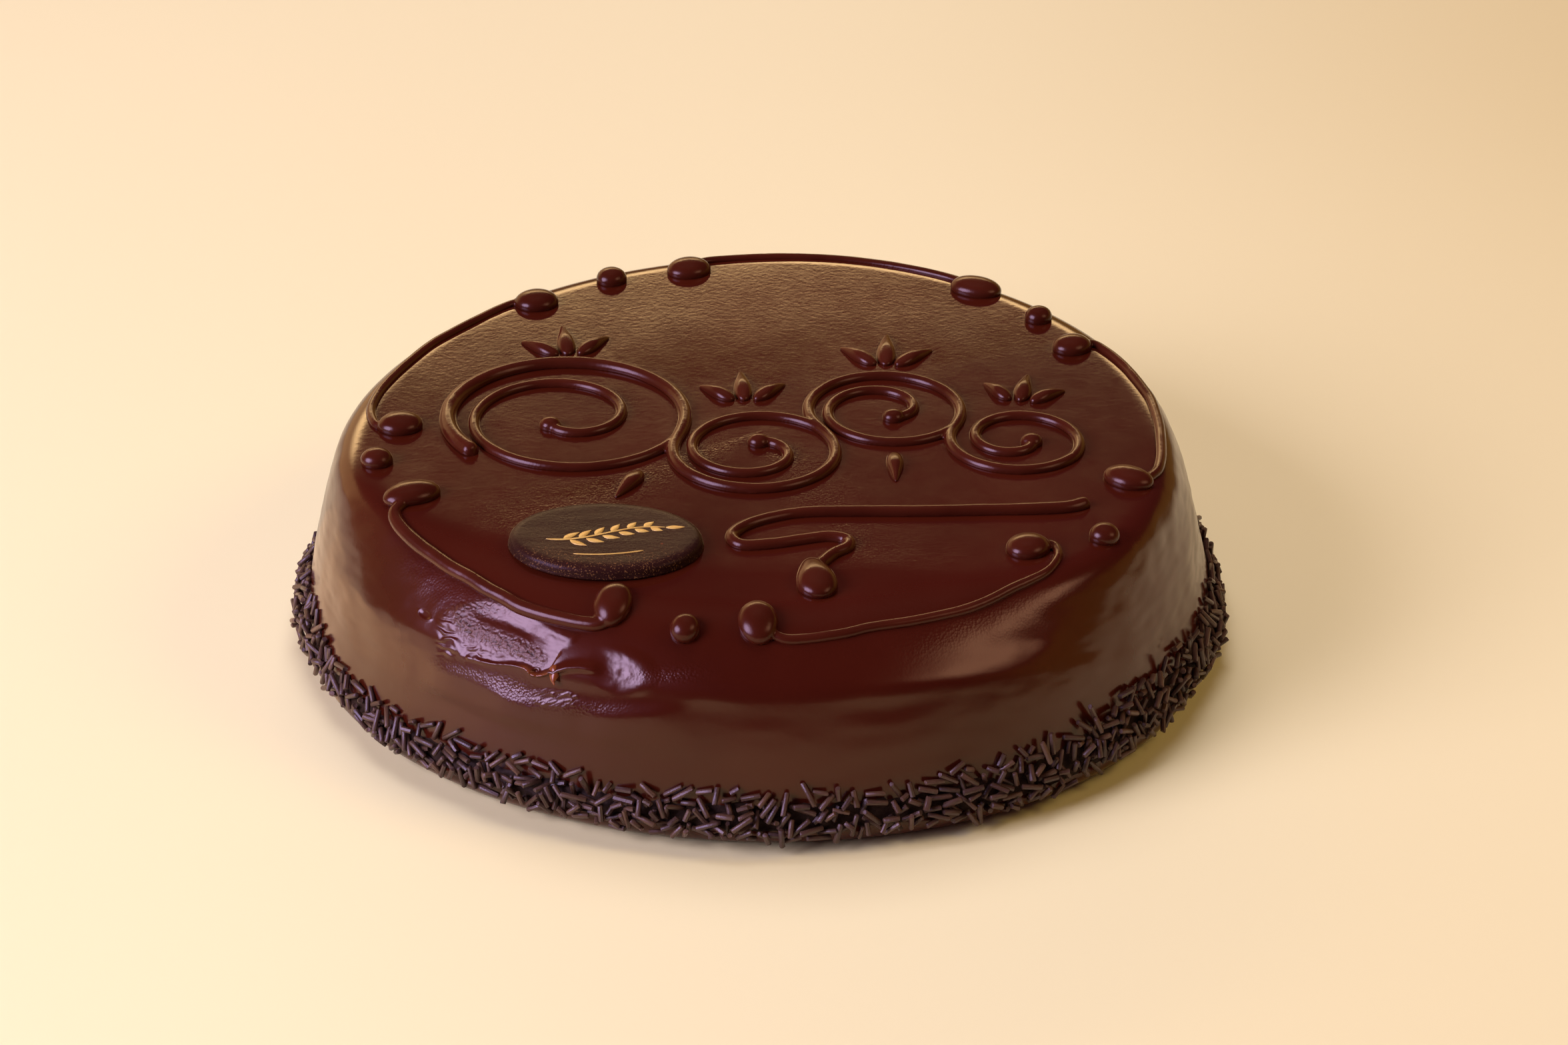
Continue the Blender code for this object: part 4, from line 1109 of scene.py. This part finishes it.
SCROLLS = (
    # left
    (((-66, 74.7), (-70, 73.6), (-74.9, 68.7), (-80, 62.2), (-84.9, 55.8), (-89.9, 48.7), (-94.1, 40.1),
      (-98.3, 30.1), (-101.2, 21.5), (-102.6, 14.3), (-103, 8.4), (-101.9, 2.7), (-100.1, -0.5), (-96.9, -0.7)), 2.4,
     ((-63.5, 73.9, 6.0, 5.4, 10), (-94.5, -0.1, 5.9, 5.2, 15))),
    # front left
    (((-90.5, -42.2), (-92.2, -46.7), (-91.6, -51.3), (-89, -57.2), (-85, -63.6), (-81, -68.8), (-76.3, -74.4),
      (-71.7, -78.8), (-67.1, -83.6), (-62.4, -87.6), (-58.5, -90.8), (-53.2, -93.9), (-47.9, -96.4), (-43.1, -98.3),
      (-39.1, -99.1), (-36.2, -97.5), (-36, -94.6)), 3.0,
     ((-88.5, -37.9, 7.4, 4.9, 25), (-36.2, -92.4, 6.6, 4.7, 80))),
    # front right
    (((0.5, -103), (5.1, -105.4), (10.1, -105.1), (15.1, -104.2), (20.1, -102.8), (25.1, -100.9), (35.1, -97.8),
      (45.1, -93.6), (50.1, -90.8), (55.1, -86.9), (60.1, -81.8), (64.4, -78), (68.7, -73.3), (71.2, -67.7),
      (71.9, -63.4), (70.6, -59.3), (67, -60.2)), 2.2,
     ((-1.3, -100.6, 6.2, 4.9, 95), (64.6, -61.7, 5.6, 5.1, 30))),
    # right
    (((83.9, 52.3), (87.4, 52.5), (90.1, 49.1), (92.8, 44.3), (95.1, 39.1), (97, 33.7), (98.9, 27.8), (100.6, 21.8),
      (101.4, 13.8), (101.8, 5.9), (101.6, -1.9), (101.2, -9.6), (100.5, -15.1), (99.3, -19.9), (96.7, -24.2)), 2.5,
     ((81.2, 50.3, 5.4, 4.7, 25), (91.5, -25.3, 6.7, 4.6, -28))),
    # back
    (((-20.5, 99.7), (-17.8, 102.2), (-10.3, 104.1), (0, 105.6), (9.7, 106), (19.7, 105.2), (29.7, 102.9),
      (38.8, 99.5), (45.4, 96.3), (50.2, 93.3), (54, 90)), 2.4,
     ((-22.5, 95.7, 6.2, 5.2, 20), (56.6, 85.8, 7.2, 5.0, -20))),
)
DOTS = ((-98.9, -19.7, 4.1), (-43.7, 89.2, 4.3), (73.0, 68.0, 3.8), (83.7, -55.2, 3.8), (-18.7, -103.1, 3.8))

VINE_START = (-52.0, 6.0)
VINE_RADII = (31.0, 21.0, 20.0, 17.0)
VINE_TURNS = (-20.0, 35.0, -25.0)
VINE_WIDTH = 3.0
FULLER = 1.10   # makes up for what melting the strokes together takes off
VINE_BEGIN = 224.0
CURL_TURNS = (1.3, 1.12, 1.1, 1.05)
CURL_EYE = (6.4, 4.8, 4.6, 4.2)
SPRAYS = (
    (-6.0, 14.0, 94.0, 8.5, 3),
    (31.0, 35.5, 88.0, 9.5, 3),
    (65.5, 15.5, 80.0, 8.0, 3),
    (-53.0, 39.5, 98.0, 9.0, 3),
    (-30.5, -21.5, 246.0, 7.5, 1),
    (32.5, -9.5, 271.0, 7.5, 1),
)
SPRAY_ROOT = 2.7
SPRAY_FAN = 44.0
FLOURISH = ((81, -37.5), (76, -40.5), (68, -41.8), (56, -42.6), (40, -43.6), (24, -44.0), (10, -44.8), (1, -48.0),
            (-5.2, -52.3), (-8.2, -57.5), (-5.6, -62.0), (2, -61.2), (9, -59.0), (15.5, -57.2), (20.2, -58.6),
            (20.2, -62.4), (16.6, -66.0), (13.6, -71.0))
FLOURISH_WIDTH = 3.2
FLOURISH_DROP = (12.4, -78.0, 9.0, 6.0, 98)


def polar(centre, r, deg):
    return np.array([centre[0] + r * math.cos(math.radians(deg)), centre[1] + r * math.sin(math.radians(deg))])


def vine_strokes():
    circles = [(np.array(VINE_START), VINE_RADII[0])]
    for r, d in zip(VINE_RADII[1:], VINE_TURNS):
        c, last = circles[-1]
        circles.append((polar(c, last + r, d), r))
    stem, curls = [], []
    start, spin = VINE_BEGIN, -1.0
    for k, (c, r) in enumerate(circles):
        leave = VINE_TURNS[k] if k < len(circles) - 1 else VINE_TURNS[-1] + 180.0 + spin * 170.0
        sweep = (leave - start) % 360.0
        if spin < 0:
            sweep -= 360.0
        stem += [polar(c, r, start + sweep * t) for t in np.linspace(0, 1, 120)]
        s = spin * 360.0 * CURL_TURNS[k]
        begin = start + sweep
        curls.append(resample([polar(c, r - (r - CURL_EYE[k]) * t ** 1.12, begin + s * t) for t in np.linspace(0, 1, 300)], 0.8))
        start = leave + 180.0
        spin = -spin
    stem = np.array(stem)
    for _ in range(30):
        stem[1:-1] = 0.25 * stem[:-2] + 0.5 * stem[1:-1] + 0.25 * stem[2:]
    return resample(stem, 0.8), curls


def leaves():
    out = []
    for x, y, t, half, count in SPRAYS:
        for k in range(count):
            off = k - (count - 1) // 2
            size = half if off == 0 else half * 0.74
            d = t + SPRAY_FAN * off
            reach = SPRAY_ROOT + size + (1.2 if off else 0.0)
            c = polar((x, y), reach, d)
            out.append((c[0], c[1], size, size * 0.20 + 1.4, d))
    return out


piping = piping_material()
for i, (points, width, drops_) in enumerate(SCROLLS, 1):
    path = smooth_path([reseat(px, py) for px, py in points], 0.8)
    parts = [bead(path, width * FULLER, 0.66, tip0=False, tip1=False, seed=i)]
    for j, (x, y, a, b, t) in enumerate(drops_):
        x, y = reseat(x, y, 1.6)
        parts.append(drop(x, y, a, b, 3.95, t, seed=i * 3 + j))
    fused("piped_scroll_%d" % i, parts, piping, "piping", ["scroll_%d" % i])
for i, (x, y, r) in enumerate(DOTS, 1):
    x, y = reseat(x, y, 1.6)
    fused("piped_drop_%d" % i, [drop(x, y, r, r * 0.97, 3.95, 12.0 * i, seed=40 + i)], piping, "piping", ["dot_%d" % i])
stem, curls = vine_strokes()
parts = [bead(stem, VINE_WIDTH * FULLER, 0.66, start=1.5, tip1=False, seed=11)]
for k, path in enumerate(curls):
    parts.append(bead(path, VINE_WIDTH * 0.97 * FULLER, 0.66, tip0=False, seed=20 + k))
    parts.append(drop(path[-1][0], path[-1][1], 2.9, 2.7, 2.9, seed=60 + k))
fused("piped_vine", parts, piping, "piping", ["vine"], voxel=0.33)
for i, (x, y, a, b, t) in enumerate(leaves(), 1):
    fused("piped_leaf_%d" % i, [drop(x, y, a, b, 2.6, t, tail=0.75, seed=80 + i)], piping, "piping", ["leaf_%d" % i])
x, y, a, b, t = FLOURISH_DROP
fused("piped_flourish", [bead(smooth_path(FLOURISH, 0.8), FLOURISH_WIDTH * FULLER, 0.66, start=1.15, tip1=False, seed=31),
                         drop(x, y, a, b, 4.4, t, tail=0.5, seed=99)], piping, "piping", ["flourish"])

# ------------------------------------------------------------------ plaque
PLAQUE_AT = (-39.0, -62.0)
PLAQUE_HALF = (24.0, 17.7)
PLAQUE_TURN = -2.0


def make_plaque():
    levels = [(0.99, -0.25), (1.0, 0.0), (1.004, 0.22), (0.996, 0.45), (0.992, 0.8), (0.988, 1.4), (0.978, 1.9), (0.962, 2.3),
              (0.942, 2.6), (0.918, 2.8), (0.89, 2.92), (0.85, 2.98), (0.80, 3.0)]
    levels += [(k, 3.0) for k in (0.72, 0.62, 0.5, 0.38, 0.26, 0.13)]
    sides = 220
    ang = np.linspace(0, 2 * np.pi, sides, endpoint=False)
    ca, sa = math.cos(math.radians(PLAQUE_TURN)), math.sin(math.radians(PLAQUE_TURN))
    rings, dust = [], []
    for k, z in levels:
        inset = (1 - k) * PLAQUE_HALF[1]
        if k >= 0.8:
            hx, hy = PLAQUE_HALF[0] - inset, PLAQUE_HALF[1] - inset
        else:
            e = (1 - 0.8) * PLAQUE_HALF[1]
            hx, hy = (PLAQUE_HALF[0] - e) * k / 0.8, (PLAQUE_HALF[1] - e) * k / 0.8
        uneven = 0.05 * noise3(np.stack([np.cos(ang) * 4, np.sin(ang) * 4, 0 * ang + z], 1), 5)
        if z < 0.5:
            # a ragged thin flash at the foot
            uneven = uneven + 0.22 * np.clip(noise3(np.stack([np.cos(ang) * 9, np.sin(ang) * 9, 0 * ang], 1), 9), 0, 1)
        u, v = (hx + uneven) * np.cos(ang), (hy + uneven) * np.sin(ang)
        px = PLAQUE_AT[0] + u * ca - v * sa
        py = PLAQUE_AT[1] + u * sa + v * ca
        wav = 0.05 * noise3(np.stack([u / 9, v / 9, 0 * u], 1), 15)
        rings.append(np.column_stack([px, py, HEIGHT + 0.15 + z * 0.985 + wav]))
        front = smoothstep((-v / hy - 0.25) / 0.6)
        dust.append(np.clip(front * (1.0 if 0.5 < z and k > 0.6 else 0.35) * (k - 0.3), 0, 1) + (0.5 if z < 0.5 else 0.05))
    m = sides
    v = np.vstack(rings)
    idx = np.arange(len(levels) * m).reshape(len(levels), m)
    nxt = np.roll(idx, -1, axis=1)
    q = np.stack([idx[:-1], nxt[:-1], nxt[1:], idx[1:]], -1).reshape(-1, 4)
    c0, c1 = len(v), len(v) + 1
    v = np.vstack([v, [[PLAQUE_AT[0], PLAQUE_AT[1], HEIGHT - 0.05], [PLAQUE_AT[0], PLAQUE_AT[1], rings[-1][:, 2].mean()]]])
    tr = np.vstack([np.stack([nxt[0], idx[0], np.full(m, c0)], -1), np.stack([idx[-1], nxt[-1], np.full(m, c1)], -1)])
    dust = np.concatenate([np.concatenate(dust), [0, 0.1]])
    return mesh_from("plaque_oval", v, q, tr, {"dust": dust})


plaque = add_object("plaque_oval", make_plaque(), plaque_material(), "plaque_chocolate", "plaque")


def make_sprig():
    """A gold sprig on the plaque: a curved stem with paired leaves, a thin raised print."""
    vs, qs, off = [], [], 0
    z = HEIGHT + 0.15 + 3.0

    def patch(outline_a, outline_b):
        nonlocal off
        n = len(outline_a)
        low = [np.column_stack([o, np.full(n, z - 0.12)]) for o in (outline_a, outline_b)]
        mid = (np.asarray(outline_a) + np.asarray(outline_b)) / 2
        rows_ = [np.column_stack([outline_a, np.full(n, z - 0.10)]), np.column_stack([outline_a * 0.9 + mid * 0.1, np.full(n, z + 0.07)]),
                 np.column_stack([mid, np.full(n, z + 0.11)]),
                 np.column_stack([outline_b * 0.9 + mid * 0.1, np.full(n, z + 0.07)]), np.column_stack([outline_b, np.full(n, z - 0.10)])]
        v = np.vstack(rows_)
        idx = np.arange(5 * n).reshape(5, n)
        q = np.stack([idx[:-1, :-1], idx[:-1, 1:], idx[1:, 1:], idx[1:, :-1]], -1).reshape(-1, 4)
        qb = np.stack([idx[0, :-1], idx[-1, :-1], idx[-1, 1:], idx[0, 1:]], -1)
        vs.append(v)
        qs.append(np.vstack([q, qb]) + off)
        off += len(v)

    def stroke(path, w0, w1):
        p = np.asarray(path, float)
        t = np.gradient(p, axis=0)
        t /= np.linalg.norm(t, axis=1, keepdims=True)
        side = np.stack([-t[:, 1], t[:, 0]], 1)
        f = np.linspace(0, 1, len(p))[:, None]
        w = (w0 * (1 - f) + w1 * f) * np.sqrt(np.clip(np.minimum(f, 1 - f) * 14, 0.02, 1))
        patch(p + side * w / 2, p - side * w / 2)

    def leaf(root, deg, length, width, bend=0.0):
        t = np.linspace(0, 1, 14)
        ang_ = math.radians(deg) + bend * t
        xs = root[0] + np.cumsum(np.cos(ang_)) * length / 14
        ys = root[1] + np.cumsum(np.sin(ang_)) * length / 14
        c = np.stack([xs, ys], 1)
        side = np.stack([-np.sin(ang_), np.cos(ang_)], 1)
        w = width * np.sin(np.pi * np.clip(t, 0.02, 0.985) ** 0.8)[:, None]
        patch(c + side * w / 2, c - side * w / 2)

    cx, cy = PLAQUE_AT[0], PLAQUE_AT[1] + 0.5
    t = np.linspace(-1, 1, 60)
    stem_ = np.stack([cx + 14.5 * t, cy + 2.6 * np.sin(t * 2.2) + 1.2 * t], 1)
    stroke(stem_, 0.75, 0.45)
    for k in range(6):
        f = -0.72 + 0.27 * k
        px, py = cx + 14.5 * f, cy + 2.6 * math.sin(f * 2.2) + 1.2 * f
        slope = math.degrees(math.atan2(2.6 * 2.2 * math.cos(f * 2.2) + 1.2, 14.5))
        size = 5.4 - 0.35 * k
        leaf((px, py), slope + 48, size, 1.9, -0.35)
        leaf((px + 1.6, py), slope - 48, size, 1.9, 0.35)
    leaf((cx + 14.3, cy + 2.6 * math.sin(2.2) + 1.1), 4, 5.0, 1.8)
    # an arc under it
    t = np.linspace(-1, 1, 40)
    stroke(np.stack([cx + 8.5 * t + 1.0, cy - 9.6 + 1.0 * t - 1.0 * (1 - t * t)], 1), 0.5, 0.5)
    return mesh_from("gold_sprig", np.vstack(vs), np.vstack(qs))


sprig = add_object("gold_sprig", make_sprig(), gold_material(), "gold")

# ------------------------------------------------------------------ sprinkles
BAND_FOOT = 3.3
BAND_TOP = 16.6
BAND_BULGE = 4.5
BAND_UNEVEN = 1.3


def ripple(a, seed, octaves=((5, 1.0), (9, 0.8), (14, 0.7), (23, 0.8), (37, 0.6))):
    total = 0.0
    weight = 0.0
    for n_, amount in octaves:
        phase = math.fmod(math.sin(n_ * 12.9898 + seed * 78.233) * 43758.5453, 1.0) * 2.0 * math.pi
        total = total + amount * np.sin(n_ * a + phase)
        weight += amount * amount
    return total / math.sqrt(weight) / 1.4


def hills(a, spots):
    d = np.degrees(a) % 360.0
    return sum(h * np.exp(-(turn(d, at) / w) ** 2) for at, w, h in spots)


def band_top(a):
    spots = ((195.0, 11.0, 3.4), (290.0, 20.0, 1.8), (322.0, 17.0, 5.4), (343.0, 15.0, 3.4), (15.0, 16.0, 1.6))
    return BAND_TOP + hills(a, spots) + BAND_UNEVEN * ripple(a, 1.0)


def band_foot(a):
    return BAND_FOOT + 0.5 * (1.0 + ripple(a, 3.0)) + hills(a, ((328.0, 22.0, 1.4), (205.0, 18.0, 1.8), (228.0, 14.0, 0.8)))


def band_bulge(a):
    return BAND_BULGE + hills(a, ((205.0, 20.0, -1.6), (332.0, 20.0, -0.9), (275.0, 40.0, -0.7), (0.0, 26.0, -0.6))) + 0.7 * ripple(a, 2.0)


def wall_at(z, deg):
    """Nominal wall radius of the visual glaze at a height."""
    w = roundness(deg)
    rs = np.interp(z, SHARP[1], SHARP[0])
    rr = np.interp(z, ROUND[1], ROUND[0])
    r = rs * (1 - w) + rr * w
    t = np.clip(z / FOOT_RISE, 0, 1)
    return np.where(z < FOOT_RISE, FOOT_R + (118.9 - FOOT_R) * np.sqrt(1 - (1 - t) ** 2), r)


# half section of the heap: (share of the bulge, share of the height)
HUMP = np.array([(0.10, 0.0), (0.55, 0.02), (0.85, 0.14), (0.97, 0.32), (0.92, 0.50), (0.72, 0.68), (0.42, 0.86), (0.14, 1.0)])


def hump_point(a, t, scale=1.0, lift=0.0):
    """Point on the heap's outline at angle a and share t of the way up its section."""
    a = np.asarray(a, float)
    d = np.degrees(a) % 360.0
    tt = np.clip(t, 0, 1) * (len(HUMP) - 1)
    i = np.minimum(tt.astype(int), len(HUMP) - 2)
    f = tt - i
    o = HUMP[i, 0] * (1 - f) + HUMP[i + 1, 0] * f
    h = HUMP[i, 1] * (1 - f) + HUMP[i + 1, 1] * f
    foot = band_foot(a) + lift
    top = band_top(a)
    z = foot + (top - foot) * h
    r = (wall_at(z, d) + 0) * lobes(a) + band_bulge(a) * o * scale
    return np.stack([r * np.cos(a), r * np.sin(a), z], -1)


def make_core():
    n, m = 360, 20
    a = np.linspace(0, 2 * np.pi, n, endpoint=False)
    rings = []
    for j in range(m):
        t = j / (m - 1)
        p = hump_point(a, np.full(n, t), 0.22)
        # pulled in from the outline on all sides
        mid = np.stack([np.cos(a) * (wall_at(7.0, np.degrees(a)) * lobes(a) + 0.4), np.sin(a) * (wall_at(7.0, np.degrees(a)) * lobes(a) + 0.4),
                        np.full(n, 8.0)], -1)
        p = mid + (p - mid) * np.array([0.74, 0.74, 0.50])
        out = np.stack([np.cos(a), np.sin(a), 0 * a], -1)
        p = p + out * (0.5 * noise3(p / 1.6, 83))[:, None]
        rings.append(p)
    inner = np.stack([np.cos(a) * (wall_at(7.0, np.degrees(a)) * lobes(a) - 1.0), np.sin(a) * (wall_at(7.0, np.degrees(a)) * lobes(a) - 1.0),
                      np.full(n, 8.0)], -1)
    rings.append(inner)
    v = np.vstack(rings)
    idx = np.arange(len(rings) * n).reshape(len(rings), n)
    nxt = np.roll(idx, -1, axis=1)
    q = np.stack([idx, nxt, np.roll(nxt, -1, axis=0), np.roll(idx, -1, axis=0)], -1).reshape(-1, 4)
    return mesh_from("sprinkle_core", v, q, (), {"tone": np.zeros(len(v)), "end": np.ones(len(v))})


def place_sprinkles(count, seed=7):
    """Drops sprinkles inward onto the heap one by one until each touches what is there."""
    rng = np.random.default_rng(seed)
    cell = 3.2
    grid = {}
    pts_all = []
    out = []
    radius = 0.72
    steps = np.arange(0, 9.0, 0.22)
    fr = np.linspace(-1, 1, 5)
    made = 0
    tries = 0
    box_lo, box_hi = np.array(CAD_BOX[0]) * 1000.0, np.array(CAD_BOX[1]) * 1000.0
    rim_a = np.radians(np.arange(360) + 0.5)
    rim_r = wall_at(8.0, np.degrees(rim_a)) * lobes(rim_a) + band_bulge(rim_a)
    while made < count and tries < count * 5 and len(pts_all) < 5 * count:
        tries += 1
        a = rng.uniform(0, 2 * np.pi)
        t = rng.beta(1.25, 1.05)
        base = hump_point(np.array([a]), np.array([t]))[0]
        e = 1e-3
        da = hump_point(np.array([a + e]), np.array([t]))[0] - base
        dt = hump_point(np.array([a]), np.array([min(1.0, t + 0.04)]))[0] - hump_point(np.array([a]), np.array([max(0.0, t - 0.04)]))[0]
        nrm = np.cross(da, dt)
        nrm /= np.linalg.norm(nrm) + 1e-9
        if nrm[0] * math.cos(a) + nrm[1] * math.sin(a) < 0:
            nrm = -nrm
        tan = da / (np.linalg.norm(da) + 1e-9)
        upv = np.cross(nrm, tan)
        length = float(np.clip(rng.normal(4.6, 1.0), 2.2, 6.4))
        rad = float(np.clip(rng.normal(0.72, 0.045), 0.6, 0.82))
        spin = rng.uniform(0, np.pi)
        lift_ = rng.normal(0, 0.34)
        axis = (tan * math.cos(spin) + upv * math.sin(spin)) * math.cos(lift_) + nrm * math.sin(lift_)
        axis /= np.linalg.norm(axis)
        start = base + nrm * 2.5
        half = length / 2 - rad * 0.6
        body_pts = fr[:, None] * half * axis[None]
        P = start[None, None] - steps[:, None, None] * nrm[None, None] + body_pts[None]     # steps, 5, 3
        # neighbours along the whole way in
        lo = np.floor((P.reshape(-1, 3).min(0) - 1.6) / cell).astype(int)
        hi = np.floor((P.reshape(-1, 3).max(0) + 1.6) / cell).astype(int)
        near = []
        for ix in range(lo[0], hi[0] + 1):
            for iy in range(lo[1], hi[1] + 1):
                for iz in range(lo[2], hi[2] + 1):
                    g = grid.get((ix, iy, iz))
                    if g:
                        near += g
        # the glaze and the core stop it too
        rr = np.hypot(P[..., 0], P[..., 1])
        aa = np.arctan2(P[..., 1], P[..., 0])
        zz = P[..., 2]
        wall_r = wall_at(zz, np.degrees(aa) % 360.0) * lobes(aa)
        stop = ((rr - wall_r) < rad * 0.9).any(1) | (zz < 0.75).any(1)
        if near:
            Q = np.array([pts_all[i] for i in near])
            dd = P[:, :, None, :] - Q[None, None, :, :3]
            d2 = (dd ** 2).sum(-1)
            touch = (d2 < (rad + Q[None, None, :, 3] - 0.10) ** 2).any((1, 2))
            stop |= touch
        k = int(np.argmax(stop)) if stop.any() else len(steps) - 1
        if k == 0:
            continue
        k -= 1
        centre = start - steps[k] * nrm
        # keep inside the heap's outline, with a few standing proud
        env = hump_point(np.array([a]), np.array([t]))[0]
        proud = float((centre - env) @ nrm)
        if proud > (0.05 if rng.random() < 0.15 else -0.45):
            continue
        # and inside the model's overall box
        reach = np.abs(axis) * length / 2 + rad * np.sqrt(np.maximum(0.0, 1 - axis ** 2)) + 0.12
        if (centre + reach > box_hi).any() or (centre - reach < box_lo).any():
            continue
        ends_ = centre[None] + np.array([[-1.0], [1.0]]) * axis[None] * length / 2
        if (np.hypot(ends_[:, 0], ends_[:, 1]) + rad * 0.6).max() > rim_r[int(math.degrees(a)) % 360] + 0.75:
            continue
        made += 1
        for pt in centre[None] + body_pts:
            key = tuple(np.floor(pt / cell).astype(int))
            pts_all.append((pt[0], pt[1], pt[2], rad))
            grid.setdefault(key, []).append(len(pts_all) - 1)
        out.append((centre, axis, length, rad))
    return out, rng


def sprinkle_mesh(items, rng, sides=7):
    vs, qs, ts, tone, end = [], [], [], [], []
    off = 0
    ang = np.linspace(0, 2 * np.pi, sides, endpoint=False)
    for centre, axis, length, rad in items:
        ref = np.array([0, 0, 1.0]) if abs(axis[2]) < 0.9 else np.array([1.0, 0, 0])
        s1 = np.cross(axis, ref)
        s1 /= np.linalg.norm(s1)
        s2 = np.cross(axis, s1)
        phase = rng.uniform(0, 6.28)
        c, s = np.cos(ang + phase), np.sin(ang + phase)
        bend = rng.normal(0, 0.05) * length
        tint = float(np.clip(rng.normal(0.5, 0.22), 0, 1))
        flat = rng.uniform(0.9, 1.0)
        skew = rng.normal(0, 0.12, 2)
        for f, k, e in ((-1, 0.78, 1.0), (-0.93, 1.0, 0.2), (0.93, 0.98, 0.2), (1, 0.76, 1.0)):
            mid = centre + axis * (length / 2 * f) + s2 * bend * (f * f - 0.5)
            ring = mid[None] + rad * k * (c[:, None] * s1[None] + flat * s[:, None] * s2[None])
            if abs(f) == 1:
                ring = ring + axis[None] * (skew[0 if f < 0 else 1] * c)[:, None]
            vs.append(ring)
            tone += [tint] * sides
            end += [e] * sides
        idx = np.arange(4 * sides).reshape(4, sides) + off
        nxt = np.roll(idx, -1, axis=1)
        qs.append(np.stack([idx[:-1], nxt[:-1], nxt[1:], idx[1:]], -1).reshape(-1, 4))
        cap0 = np.array([[idx[0][0], idx[0][j + 1], idx[0][j]] for j in range(1, sides - 1)])
        cap1 = np.array([[idx[3][0], idx[3][j], idx[3][j + 1]] for j in range(1, sides - 1)])
        ts.append(cap0)
        ts.append(cap1)
        off += 4 * sides
    return np.vstack(vs), np.vstack(qs), np.vstack(ts), np.array(tone), np.array(end)


# painted shade: the core under the sprinkles uses their material darkened to 0.16 of its tones and nearly without
# shine, so the gaps between sprinkles read as shade
core_shade_looks = sprinkle_material("sprinkle_core_shade_looks", 0.16)
for node in core_shade_looks.node_tree.nodes:
    if node.type == "BSDF_PRINCIPLED":
        node.inputs["Specular IOR Level"].default_value = 0.06
core = add_object("sprinkle_core", make_core(), core_shade_looks, "sprinkle", "sprinkle_band")
items, rng = place_sprinkles(3650)
v, q, t, tone, end = sprinkle_mesh(items, rng)
print("sprinkles", len(items), "triangles", 2 * len(q) + len(t))
sprinkles_me = mesh_from("sprinkles", v, q, t, {"tone": tone, "end": end})
sprinkles_me.set_sharp_from_angle(angle=math.radians(50.0))
add_object("sprinkles", sprinkles_me, sprinkle_material(), "sprinkle", "sprinkle_band")

# ------------------------------------------------------------------ the CAD model's overall box
lo, hi = CAD_BOX
